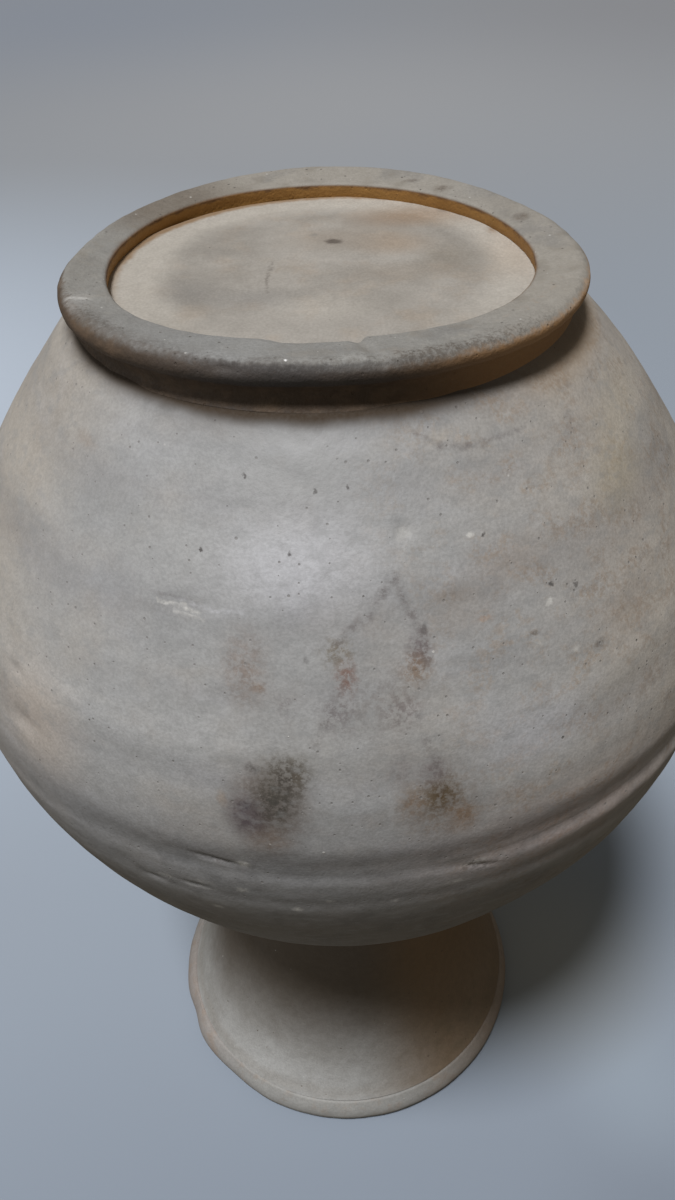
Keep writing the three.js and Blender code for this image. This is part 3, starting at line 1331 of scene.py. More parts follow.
class Finish:
    """A clay surface in the making: its colour, its roughness and its relief in millimetres."""

    NAME = ""
    GLOSS = (0.6, 0.15)
    tone: Colour = (0.3, 0.3, 0.3)

    def __init__(self, effects: Effects) -> None:
        """Opens the material and makes the finish.

        Args:
            effects: The shared node groups.
        """
        self.material = bpy.data.materials.new(self.NAME)
        self.material.use_nodes = True
        self.wiring = Wiring(self.material.node_tree)
        self.effects = effects
        self.colour: Feed = self.tone
        self.relief: Feed = 0.0
        metres = self.wiring.add("ShaderNodeTexCoord").outputs["Object"]
        self.spot = self.wiring.scaled(metres, 1.0 / MM)
        self.ragged = self.shaken(1.2, 1.1)
        self.wavy = self.shaken(1.6, 0.7)
        self.grain = self.noise(2.0, 3.0, 0.6)
        self.speckles = self.wiring.ease(self.noise(0.9, 5.0, 0.75), 0.43, 0.58)
        self.radius, self.turn, self.height = effects.round.place(self.wiring, place=self.spot)
        self.ahead = self.aside(176.0, 112.0)
        base, worn = self.GLOSS
        self.roughness: Feed = self.plus(self.times(self.wiring.ease(self.grain, 0.3, 0.7), worn), base)
        self.lay()
        self.fire()

    def lay(self) -> None:
        """Lays the tones, the marks and the relief of the finish."""
        raise NotImplementedError

    def fire(self) -> None:
        """Joins the colour, the roughness and the relief to the shader."""
        shader = self.material.node_tree.nodes["Principled BSDF"]
        bump = self.wiring.add("ShaderNodeBump")
        bump.inputs["Distance"].default_value = MM
        self.wiring.feed(bump.inputs["Height"], self.relief)
        for name, value in (("Base Color", self.colour), ("Roughness", self.roughness)):
            self.wiring.feed(shader.inputs[name], value)
        self.wiring.feed(shader.inputs["Normal"], bump.outputs["Normal"])

    def noise(self, scale: float, detail: float, roughness: float) -> Socket:
        """Reads a cloudy pattern at the surface, from 0 to 1."""
        return self.wiring.noise(self.spot, scale, detail, roughness).outputs[0]

    def shaken(self, reach: float, grain: float) -> Socket:
        """Shakes the place for ragged edges."""
        return self.effects.ragged.place(self.wiring, place=self.spot, reach=reach, grain=grain)[0]

    def around(self, reach: float, grain: float) -> bpy.types.NodeOutputs:
        """Finds the radius, turn and height of the shaken place."""
        return self.effects.round.place(self.wiring, place=self.shaken(reach, grain))

    def clouds(self, span: float, **feeds: Feed) -> Socket:
        """Weighs the surface in clouds of a span in millimetres."""
        feeds = {"place": self.spot, "span": span, **feeds}
        return self.effects.clouds.place(self.wiring, **feeds)[0]

    def times(self, *shares: Feed) -> Feed:
        """Multiplies shares together."""
        return reduce(partial(self.wiring.sum, "MULTIPLY"), shares)

    def plus(self, first: Feed, second: Feed) -> Socket:
        """Adds two numbers."""
        return self.wiring.sum("ADD", first, second)

    def within(self, value: Feed, middle: float, reach: float) -> Socket:
        """Weighs a value by its nearness to a middle, 1 at it and 0 from the reach on."""
        off = self.wiring.sum("ABSOLUTE", self.wiring.sum("SUBTRACT", value, middle))
        return self.wiring.ease(off, reach, 0.0)

    def aside(self, start: float, end: float, middle: float = 0.0) -> Socket:
        """Weighs the surface by its turn away from a middle, to both sides alike."""
        turned = self.wiring.sum("SUBTRACT", self.turn, middle)
        return self.wiring.ease(self.wiring.sum("ABSOLUTE", turned), start, end)

    def beside(self, start: float, end: float) -> Socket:
        """Weighs one side of the jar: in from one turn to another, and out again at the back."""
        return self.times(self.wiring.ease(self.turn, start, end), self.ahead)

    def darkened(self, back: float, front: float) -> Socket:
        """Gives one share at the back of the jar and another one at its front and sides."""
        return self.wiring.sum("MULTIPLY_ADD", self.ahead, front - back, back)

    def tint(self, colour: Feed, *shares: Feed) -> None:
        """Mixes a colour into the surface by the product of some shares."""
        self.colour = self.wiring.blend(self.times(*shares), self.colour, colour)

    def shade(self, colour: Feed, *shares: Feed) -> None:
        """Multiplies the surface by a colour, by the product of some shares."""
        self.colour = self.wiring.blend(self.times(*shares), self.colour, colour, "MULTIPLY")

    def emboss(self, share: Feed, rise: float) -> None:
        """Raises the surface by a share of a height in millimetres."""
        self.relief = self.plus(self.relief, self.times(share, rise))

    def cloud(self, span: float, colour: Colour, amount: float, **feeds: Feed) -> None:
        """Tints the surface in clouds of a span in millimetres."""
        self.tint(colour, self.clouds(span, **feeds), amount)

    def scatter(self, spacing: float, size: float, cover: float, colour: Colour, rise: float) -> None:
        """Scatters grains or pits over the surface.

        Args:
            spacing: Distance between them in millimetres.
            size: Radius of one in millimetres.
            cover: The share of places that hold one.
            colour: Their colour.
            rise: How high they stand in millimetres, below 0 for pits.
        """
        feeds = {"place": self.spot, "spacing": spacing, "size": size, "cover": cover}
        share = self.effects.grit.place(self.wiring, **feeds)[0]
        self.tint(colour, share, 0.75)
        self.emboss(share, rise)

    def speckled(self, share: Socket, speckle: float) -> Socket:
        """Lets a part of a share go between the speckles."""
        kept = self.wiring.sum("MULTIPLY_ADD", self.speckles, speckle, 1.0 - speckle)
        return self.times(share, kept)

    def mark(self, *marks: Stain | Scratch) -> None:
        """Lays stains, and draws scratches stretch by stretch.

        Args:
            marks: The marks, in the order in which they cover each other.
        """
        for mark in marks:
            if isinstance(mark, Stain):
                feeds = {"centre": mark.place, "size": mark.size, "core": mark.core}
                self.lay_mark(mark, self.effects.blot, place=self.ragged, **feeds)
            else:
                for start, end in zip(mark.places, mark.places[1:]):
                    feeds = {"start": start, "end": end, "width": mark.width}
                    self.lay_mark(mark, self.effects.line, place=self.wavy, **feeds)

    def lay_mark(self, mark: Stain | Scratch, effect: Effect, **feeds: Feed) -> None:
        """Lays one mark, or one stretch of it, through an effect's inputs."""
        share = effect.place(self.wiring, amount=mark.amount, **feeds)[0]
        self.tint(mark.colour, self.speckled(share, mark.speckle))

    def skin(self, grain_rise: float, uneven_rise: float) -> None:
        """Gives the surface its fine tooth and a slower unevenness, as relief and as tone.

        Args:
            grain_rise: Height of the tooth in millimetres.
            uneven_rise: Height of the unevenness in millimetres.
        """
        self.emboss(self.wiring.sum("SUBTRACT", self.grain, 0.5), grain_rise)
        self.emboss(self.noise(0.35, 3.0, 0.5), uneven_rise)
        light = self.wiring.ease(self.grain, 0.32, 0.68)
        self.shade(self.wiring.blend(light, (0.76, 0.76, 0.76), (1.22, 1.22, 1.22)), 0.25)
        patchy = self.wiring.ease(self.noise(0.5, 3.0, 0.65), 0.3, 0.7)
        self.shade(self.wiring.blend(patchy, (0.8, 0.79, 0.78), (1.17, 1.17, 1.17)), 0.26)


class BodyFinish(Finish):
    """The belly's pale grey clay, tan at the flanks and stained on the front, with a painted highlight,
    painted shade on its lower half, and grime with painted shade at the foot.
    """

    NAME = "body_fired_clay"
    GLOSS = (0.52, 0.14)
    tone: Colour = (0.322, 0.322, 0.324)
    # Pale, a little bluish; it also paints the highlight high on the front.
    pale: Colour = (0.445, 0.448, 0.475)
    tan: Colour = (0.365, 0.328, 0.285)
    warm: Colour = (0.405, 0.365, 0.318)
    slate: Colour = (0.235, 0.237, 0.24)
    brown: Colour = (0.27, 0.235, 0.205)
    rust: Colour = (0.19, 0.12, 0.07)
    plum: Colour = (0.13, 0.105, 0.11)
    soot: Colour = (0.055, 0.048, 0.046)
    grime_and_shade: Colour = (0.042, 0.027, 0.015)
    chalk: Colour = (0.52, 0.51, 0.49)
    tide: Colour = (0.13, 0.115, 0.115)
    seam_height: float = 158.0
    pinhole_size: Place = (0.4, 10.0, 0.36)

    def __init__(self, effects: Effects, trace: WallTrace) -> None:
        """Keeps the wall's trace, by which marks are placed, and makes the finish."""
        self.trace = trace
        super().__init__(effects)

    def stained(self, across: float, height: float, size: Place, *looks: Colour | float) -> None:
        """Lays one stain on the front of the wall, by its place across and up it."""
        self.mark(Stain(self.trace.front(across, height), size, *looks))

    def scratched(self, places: tuple[Point, ...], *looks: Colour | float) -> None:
        """Draws one scratch on the front of the wall, by its places across and up it."""
        self.mark(Scratch(tuple(self.trace.front(*place) for place in places), *looks))

    def lay(self) -> None:
        """Lays the clay's tones and marks from the widest to the smallest."""
        self.lay_tones()
        self.lay_sweeps()
        self.lay_smudges()
        self.lay_specks()
        self.lay_scratches()
        self.lay_seam()
        self.lay_seam_marks()
        # Painted shade: the body browns towards the neck, less at the back; at the right it also takes
        # a rust tone.
        low = self.wiring.ease(self.around(5.0, 0.12)["Height"], 116.0, 86.0)
        self.tint(NeckFinish.brown, low, self.darkened(0.5, 0.85))
        self.tint(NeckFinish.rust, low, self.beside(2.0, 44.0), 0.78)
        self.skin(0.05, 0.12)
        self.cloud(3.2, self.slate, 0.3, flatness=2.0, low=0.5, high=0.66)
        self.scatter(3.4, 0.22, 0.06, (0.12, 0.112, 0.105), -0.1)
        self.scatter(1.5, 0.2, 0.42, (0.19, 0.18, 0.175), -0.06)
        self.scatter(4.3, 0.26, 0.12, self.chalk, 0.05)
        self.lay_crevice()

    def lay_tones(self) -> None:
        """Lays the wide tones of the clay, with a painted highlight high on the front."""
        pale, slate = self.pale, self.slate
        self.tint(self.tan, self.beside(-34.0, -62.0), 0.75)
        self.tint(self.warm, self.beside(16.0, 52.0), 0.75)
        self.cloud(26.0, self.tan, 0.35, low=0.45, high=0.7)
        self.cloud(34.0, slate, 0.4, flatness=3.4, slant=0.1, low=0.48, high=0.72)
        self.cloud(11.0, slate, 0.2, flatness=3.0, low=0.5, high=0.75)
        self.cloud(16.0, pale, 0.2, flatness=2.6, low=0.5, high=0.72)
        self.cloud(13.0, self.brown, 0.2, flatness=2.4, low=0.52, high=0.74)
        mottled = self.clouds(7.0, flatness=1.8, low=0.45, high=0.62)
        self.tint((0.3, 0.25, 0.208), mottled, self.beside(-6.0, 30.0), self.speckles, 0.75)
        for across, height, size, colour, amount, speckle in (
            # A painted highlight: the pale bluish sheen high on the front.
            (-6.0, 206.0, (19.0, 14.0, 11.0), pale, 0.9, 0.0),
            (-16.0, 218.0, (24.0, 24.0, 5.0), slate, 0.2, 0.0),
            (-38.0, 208.0, (17.0, 20.0, 8.0), slate, 0.65, 0.0),
            (-13.0, 191.0, (10.0, 14.0, 11.0), slate, 0.35, 0.2),
            (-52.0, 174.0, (14.0, 24.0, 16.0), (0.44, 0.375, 0.32), 0.65, 0.0),
            (-27.0, 197.0, (12.0, 14.0, 7.0), slate, 0.45, 0.0),
            (18.0, 199.0, (11.0, 12.0, 6.0), self.brown, 0.5, 0.2),
            (29.0, 179.5, (14.0, 14.0, 7.0), pale, 0.45, 0.0),
            (-22.0, 176.0, (9.0, 12.0, 5.0), pale, 0.2, 0.0),
            (20.0, 184.0, (9.0, 12.0, 6.0), pale, 0.2, 0.0),
            (48.0, 212.0, (12.0, 24.0, 7.0), (0.42, 0.375, 0.3), 0.45, 0.0),
            (44.0, 174.0, (16.0, 24.0, 6.0), (0.36, 0.35, 0.345), 0.45, 0.0),
            (30.0, 180.0, (16.0, 14.0, 9.0), pale, 0.3, 0.0),
            (-11.0, 198.5, (8.0, 12.0, 4.0), slate, 0.4, 0.0),
            (2.0, 187.0, (19.0, 14.0, 15.0), slate, 0.4, 0.1),
            (26.0, 203.0, (12.0, 12.0, 5.0), (0.31, 0.26, 0.22), 0.5, 0.2),
            (46.0, 206.0, (10.0, 16.0, 8.0), (0.34, 0.29, 0.2), 0.5, 0.2),
            (46.0, 190.0, (10.0, 16.0, 7.0), (0.29, 0.235, 0.19), 0.4, 0.2),
        ):
            self.stained(across, height, size, colour, amount, 0.0, speckle)

    def lay_sweeps(self) -> None:
        """Lays soft dark and pale bands around the jar, partly tones of the clay and partly painted
        shade in the wheel's grooves and painted light on its raised band.
        """
        wiring = self.wiring
        patchy = self.clouds(24.0, low=0.3, high=0.58)
        drift = self.times(wiring.sum("SINE", wiring.sum("RADIANS", self.turn)), 2.0)
        rise = wiring.sum("SUBTRACT", self.around(7.0, 0.045)["Height"], drift)
        dark, light = (0.8, 0.8, 0.82), (1.16, 1.16, 1.16)
        for middle, reach, amount, colour in (
            (219.5, 3.5, 0.35, dark),
            (213.5, 5.5, 0.6, dark),
            (206.0, 4.0, 0.2, light),
            (199.5, 7.5, 0.75, dark),
            (190.5, 3.0, 0.4, dark),
            (183.2, 4.6, 0.75, light),
            (176.6, 4.4, 0.6, dark),
            (167.0, 5.0, 0.35, dark),
            (141.0, 6.0, 0.5, dark),
            (124.0, 8.0, 0.5, dark),
            (106.0, 6.0, 0.4, light),
        ):
            self.shade(colour, self.within(rise, middle, reach), patchy, amount)

    def lay_smudges(self) -> None:
        """Lays the two dark smudges of the front and the rust and plum stains above them."""
        rust, plum, soot = self.rust, self.plum, self.soot
        for across, height, wide, deep, high, colour, amount, core, speckle in (
            (-12.6, 172.0, 9.6, 12.0, 11.4, (0.1, 0.085, 0.08), 0.75, 0.1, 0.3),
            (-12.0, 164.6, 7.0, 10.0, 3.6, (0.15, 0.13, 0.12), 0.4, 0.0, 0.4),
            (-12.2, 173.4, 8.5, 12.0, 10.5, rust, 0.4, 0.1, 0.3),
            (-15.8, 171.0, 5.0, 10.0, 5.6, (0.09, 0.07, 0.08), 0.95, 0.1, 0.3),
            (-11.2, 174.2, 6.0, 10.0, 7.2, (0.05, 0.048, 0.042), 0.9, 0.15, 0.5),
            (-9.2, 178.6, 6.0, 10.0, 5.6, (0.12, 0.105, 0.075), 0.75, 0.1, 0.6),
            (-9.0, 177.8, 4.8, 10.0, 4.8, soot, 0.9, 0.0, 0.85),
            (-12.8, 166.4, 6.0, 10.0, 3.8, rust, 0.3, 0.0, 0.4),
            (-14.4, 179.0, 2.2, 10.0, 1.2, soot, 0.6, 0.0, 0.5),
            (-15.9, 172.6, 2.0, 10.0, 2.0, (0.06, 0.045, 0.055), 0.7, 0.0, 0.3),
            (-19.6, 173.4, 1.2, 10.0, 2.0, (0.26, 0.18, 0.12), 0.6, 0.0, 0.3),
            (-7.6, 178.6, 2.2, 10.0, 4.4, (0.12, 0.1, 0.075), 0.6, 0.0, 0.7),
            (14.6, 172.4, 9.0, 12.0, 8.6, (0.15, 0.125, 0.1), 0.62, 0.1, 0.45),
            (14.0, 172.0, 9.5, 12.0, 9.0, rust, 0.35, 0.1, 0.6),
            (14.4, 173.6, 4.6, 10.0, 4.6, (0.085, 0.055, 0.024), 0.9, 0.1, 0.55),
            (17.6, 168.8, 4.6, 10.0, 4.0, (0.2, 0.125, 0.07), 0.75, 0.0, 0.4),
            (12.9, 177.4, 3.8, 10.0, 3.2, plum, 0.75, 0.0, 0.5),
            (9.6, 172.8, 3.4, 10.0, 3.6, rust, 0.65, 0.0, 0.5),
            (8.2, 178.6, 3.2, 10.0, 4.6, plum, 0.4, 0.0, 0.5),
            (26.0, 170.6, 6.4, 10.0, 2.8, rust, 0.45, 0.0, 0.6),
            (12.2, 197.3, 0.8, 10.0, 1.0, soot, 0.6, 0.2, 0.3),
            (11.4, 194.8, 3.0, 10.0, 3.4, plum, 0.85, 0.1, 0.6),
            (10.8, 192.4, 4.0, 10.0, 3.4, rust, 0.8, 0.0, 0.8),
            (0.4, 192.2, 2.6, 10.0, 4.0, (0.17, 0.085, 0.06), 0.9, 0.0, 0.8),
            (-0.8, 195.4, 4.0, 10.0, 3.0, (0.14, 0.11, 0.07), 0.8, 0.0, 0.85),
            (-5.4, 194.4, 0.7, 10.0, 0.7, soot, 0.5, 0.2, 0.3),
            (-12.7, 190.7, 1.5, 10.0, 1.3, rust, 0.75, 0.0, 0.5),
            (-14.6, 193.0, 5.6, 10.0, 9.0, (0.2, 0.155, 0.13), 0.75, 0.0, 0.6),
            (-1.0, 187.4, 4.4, 10.0, 4.4, plum, 0.6, 0.0, 0.85),
            (8.6, 187.0, 4.4, 10.0, 3.8, plum, 0.6, 0.0, 0.85),
            (-8.6, 188.4, 2.6, 10.0, 3.0, plum, 0.4, 0.0, 0.9),
            (5.0, 189.0, 10.0, 12.0, 10.0, (0.16, 0.14, 0.135), 0.4, 0.0, 0.8),
        ):
            self.stained(across, height, (wide, deep, high), colour, amount, core, speckle)

    def lay_specks(self) -> None:
        """Lays the small stains, the pinholes and the pale chips of the front."""
        slate, soot, chalk = self.slate, self.soot, self.chalk
        for across, height, amount in (
            (-13.3, 215.7, 0.8),
            (-3.0, 214.3, 0.8),
            (1.8, 214.6, 0.8),
            (-20.2, 206.6, 0.85),
            (-7.0, 207.3, 0.85),
            (21.6, 206.7, 0.85),
        ):
            self.stained(across, height, self.pinhole_size, soot, amount, 0.3, 0.0)
        for across, height, wide, high, colour, amount, core, speckle in (
            (15.6, 218.6, 3.6, 1.6, self.tan, 0.7, 0.0, 0.4),
            (-33.0, 215.0, 3.4, 1.6, slate, 0.5, 0.0, 0.3),
            (-39.2, 214.6, 3.0, 1.6, (0.24, 0.19, 0.15), 0.5, 0.0, 0.3),
            (32.3, 198.2, 0.7, 0.5, soot, 0.8, 0.3, 0.0),
            (36.4, 196.8, 0.6, 0.5, soot, 0.7, 0.3, 0.0),
            (17.2, 200.8, 4.6, 2.2, (0.2, 0.165, 0.14), 0.55, 0.0, 0.3),
            (8.2, 210.6, 2.2, 0.8, slate, 0.7, 0.0, 0.3),
            (19.5, 207.2, 0.6, 0.55, chalk, 0.9, 0.3, 0.0),
            (9.4, 208.9, 1.7, 1.2, chalk, 0.5, 0.2, 0.3),
            (31.9, 196.2, 0.8, 0.6, chalk, 0.8, 0.2, 0.0),
            (36.2, 188.7, 1.0, 0.8, chalk, 0.75, 0.1, 0.2),
            (30.1, 191.8, 2.0, 0.9, chalk, 0.5, 0.0, 0.6),
            (29.3, 193.0, 1.6, 0.6, soot, 0.5, 0.0, 0.5),
            (40.5, 187.8, 1.8, 1.1, soot, 0.55, 0.0, 0.5),
            (21.4, 196.9, 1.8, 0.6, (0.36, 0.22, 0.13), 0.6, 0.0, 0.4),
        ):
            self.stained(across, height, (wide, 10.0, high), colour, amount, core, speckle)

    def lay_scratches(self) -> None:
        """Draws the tide mark and the scratches of the front."""
        tide, chalk = self.tide, self.chalk
        rise = ((-0.6, 196.6), (1.5, 198.4), (4.2, 199.7), (6.2, 202.3), (8.1, 203.9))
        fall = ((8.1, 203.9), (9.4, 201.2), (10.4, 199.1), (12.0, 196.7), (12.5, 192.9))
        high = ((12.0, 219.6), (15.6, 217.9), (20.1, 216.9), (24.9, 216.9), (29.4, 216.7))
        for places, width, colour, amount, speckle in (
            (rise, 1.15, tide, 0.5, 0.75),
            (fall, 1.2, tide, 0.5, 0.75),
            (((-0.6, 190.9), (-3.0, 186.1), (-4.8, 182.9)), 1.3, tide, 0.28, 0.8),
            (((10.4, 186.5), (11.9, 182.4), (13.7, 178.7), (14.1, 174.2)), 1.3, tide, 0.28, 0.8),
            (((-27.4, 199.7), (-23.1, 199.6), (-21.0, 199.0)), 0.45, chalk, 0.7, 0.4),
            (((-25.0, 198.9), (-22.6, 198.7), (-20.4, 198.3)), 0.4, chalk, 0.5, 0.5),
            (((-24.0, 200.4), (-19.0, 199.8), (-14.1, 199.9)), 0.45, self.pale, 0.6, 0.5),
            (((-28.6, 200.4), (-25.4, 200.6), (-22.0, 200.3)), 0.4, tide, 0.35, 0.5),
            (high, 0.7, tide, 0.5, 0.5),
        ):
            self.scratched(places, width, colour, amount, speckle)

    def lay_seam(self) -> None:
        """Darkens the clay in steps from the seam down, partly its own darker tone and partly painted
        shade, paints shade into the seam's grooves and a highlight on its ridge, and lightens the
        flanks beside it as painted light.
        """
        wiring = self.wiring
        turn = wiring.sum("RADIANS", self.turn)
        slow = wiring.sum("SINE", self.plus(turn, 0.4))
        quick = wiring.sum("SINE", wiring.sum("MULTIPLY_ADD", turn, 3.0, 1.1))
        waver = self.plus(self.times(slow, 0.6), self.times(quick, 0.3))
        rise = wiring.sum("SUBTRACT", self.around(2.4, 0.25)["Height"], waver)
        up = wiring.sum("SUBTRACT", rise, self.seam_height)
        # Steps of darkening from the seam down: partly a darker tone of the clay, partly painted shade.
        self.shade((0.92, 0.915, 0.915), wiring.ease(up, 19.0, 9.0))
        self.shade((0.9, 0.905, 0.91), self.aside(24.0, 8.0), self.within(up, 12.0, 9.0))
        self.shade((0.78, 0.785, 0.805), wiring.ease(up, 9.6, 4.0))
        # Painted light on the flanks beside the seam: warm at the right, bluish at the left.
        right, left = self.within(self.turn, 26.0, 30.0), self.within(self.turn, -58.0, 34.0)
        self.shade((1.28, 1.11, 1.05), right, self.within(up, 0.0, 14.0), 0.8)
        self.shade((1.18, 1.19, 1.22), left, self.within(up, 2.0, 15.0), 0.8)
        # Painted shade in the grooves above and below the seam's ridge, and a painted highlight on the
        # ridge.
        self.shade((0.6, 0.58, 0.57), self.within(up, 3.4, 3.4), self.aside(46.0, 20.0), 0.5)
        self.shade((1.4, 1.38, 1.36), self.within(up, -3.0, 2.8), 0.22)
        self.shade((0.55, 0.53, 0.52), self.within(up, -8.0, 3.0), 0.3)
        # Painted shade on the underside below the seam.
        self.shade((0.63, 0.575, 0.51), wiring.ease(up, -4.0, -24.0))
        sooty = self.clouds(5.0, place=self.ragged, low=0.48, high=0.66)
        self.shade((0.6, 0.6, 0.6), sooty, wiring.ease(up, 7.0, 0.0), 0.4)

    def lay_seam_marks(self) -> None:
        """Lays the chips and the gouges along the seam."""
        for across, height, wide, high, amount, speckle in (
            (-17.4, 160.0, 1.8, 1.2, 0.8, 0.5),
            (-18.2, 152.5, 1.5, 1.2, 0.7, 0.5),
            (-9.3, 147.7, 1.4, 1.1, 0.75, 0.4),
            (-23.5, 143.7, 1.5, 1.2, 0.6, 0.5),
            (-31.7, 150.6, 2.4, 1.4, 0.55, 0.7),
            (-24.6, 152.6, 2.6, 1.0, 0.4, 0.7),
            (-3.8, 151.1, 1.1, 0.9, 0.5, 0.4),
            (6.9, 149.8, 1.1, 0.9, 0.45, 0.4),
            (20.6, 157.0, 3.4, 1.2, 0.55, 0.8),
            (17.0, 152.8, 3.0, 1.2, 0.4, 0.8),
        ):
            self.stained(across, height, (wide, 10.0, high), self.chalk, amount, 0.1, speckle)
        self.stained(-30.6, 149.0, (2.4, 10.0, 1.4), self.soot, 0.6, 0.0, 0.7)
        self.scratched(((-26.1, 160.4), (-21.5, 159.4), (-17.8, 158.6)), 0.8, self.soot, 0.55, 0.3)
        self.scratched(((-28.0, 149.9), (-23.0, 150.3)), 0.6, self.chalk, 0.4, 0.6)
        self.scratched(((18.4, 156.2), (21.0, 155.0), (23.6, 154.0)), 0.6, self.soot, 0.5, 0.4)

    def lay_crevice(self) -> None:
        """Darkens the body around the foot ring's joint: a painted warm shade at its right, a painted
        shadow below the ring's edge and grime with painted shade in the joint.
        """
        radius, _, height = self.around(1.2, 0.09)
        ease = self.wiring.ease
        high = ease(height, 212.0, 217.0)
        right = self.within(self.turn, 66.0, 46.0)
        # Painted warm shade where the ring's shadow falls at the right.
        self.tint((0.26, 0.17, 0.09), right, ease(radius, 50.5, 45.5), high, 0.7)
        # Painted shadow below the ring's edge, weaker at the right.
        kept = self.wiring.sum("SUBTRACT", 1.0, self.times(self.beside(12.0, 50.0), 0.65))
        self.shade((0.42, 0.41, 0.41), ease(radius, 48.4, 45.4), high, kept, 0.75)
        # Grime with painted shade in the joint itself.
        grime_and_shade = self.times(ease(radius, 46.8, 45.0), high, kept)
        self.tint(self.grime_and_shade, grime_and_shade)
        self.roughness = self.plus(self.roughness, self.times(grime_and_shade, 0.25))


class NeckFinish(Finish):
    """The collar's clay, brown where it narrows as painted shade."""

    NAME = "neck_fired_clay"
    tone: Colour = (0.262, 0.258, 0.248)
    pale: Colour = (0.395, 0.398, 0.4)
    umber: Colour = (0.15, 0.115, 0.075)
    brown: Colour = (0.07, 0.047, 0.027)
    rust: Colour = (0.17, 0.105, 0.05)

    def lay(self) -> None:
        """Lays the pale rim, the brown throat as painted shade, the stains between them and a faint
        painted shade along the joint with the lip.
        """
        ease = self.wiring.ease
        self.cloud(24.0, self.pale, 0.45, flatness=1.5, low=0.4, high=0.7)
        self.tint(self.pale, ease(self.height, 24.0, 12.0), self.within(self.turn, -12.0, 40.0), 0.5)
        self.cloud(5.0, self.brown, 0.12, low=0.5, high=0.72)
        # Painted shade: the throat browns towards the belly, less at the back, and more at the left.
        height = self.around(4.0, 0.2)["Height"]
        self.tint(self.brown, ease(height, 12.0, 44.0), self.darkened(0.5, 0.85))
        self.tint(self.brown, self.beside(-46.0, -76.0), ease(height, 10.0, 30.0), 0.5)
        self.tint(self.rust, self.beside(-2.0, 38.0), 0.82)
        corner = self.times(self.within(self.turn, 46.0, 44.0), ease(self.height, 26.0, 14.0))
        self.tint(self.umber, self.clouds(6.0, low=0.46, high=0.64), corner, 0.75)
        # A faint painted shade along the joint with the lip.
        self.tint(self.umber, self.within(height, 9.6, 2.6), 0.16)
        self.skin(0.06, 0.2)
        self.scatter(2.4, 0.25, 0.3, (0.09, 0.065, 0.045), -0.08)
        self.scatter(3.6, 0.25, 0.15, (0.45, 0.44, 0.42), 0.04)


class LipFinish(Finish):
    """The lip's clay, brown along its lower edge as painted shade where it meets the floor."""

    NAME = "lip_fired_clay"
    tone: Colour = (0.275, 0.274, 0.268)
    brown: Colour = (0.05, 0.036, 0.022)
    rust: Colour = (0.25, 0.15, 0.08)
    pink: Colour = (0.24, 0.205, 0.19)

    def lay(self) -> None:
        """Lays the warm sides, the dark lower edge as painted shade where it meets the floor, and a
        faint painted shade along the joint with the collar.
        """
        self.tint(self.pink, self.within(self.turn, -80.0, 50.0), 0.7)
        self.tint(self.rust, self.beside(10.0, 70.0), 0.5)
        self.cloud(5.0, self.rust, 0.25, low=0.5, high=0.7)
        # Painted shade: darker along the lower edge where the lip meets the floor, and faintly along
        # the joint with the collar.
        height = self.around(1.0, 0.6)["Height"]
        self.tint(self.brown, self.wiring.ease(height, 3.2, 0.8), 0.9)
        self.tint(NeckFinish.umber, self.wiring.ease(height, 5.4, 8.0), 0.12)
        self.skin(0.06, 0.15)
        self.scatter(2.0, 0.25, 0.25, (0.09, 0.065, 0.045), -0.08)
        self.scatter(3.0, 0.3, 0.18, (0.5, 0.48, 0.45), 0.05)


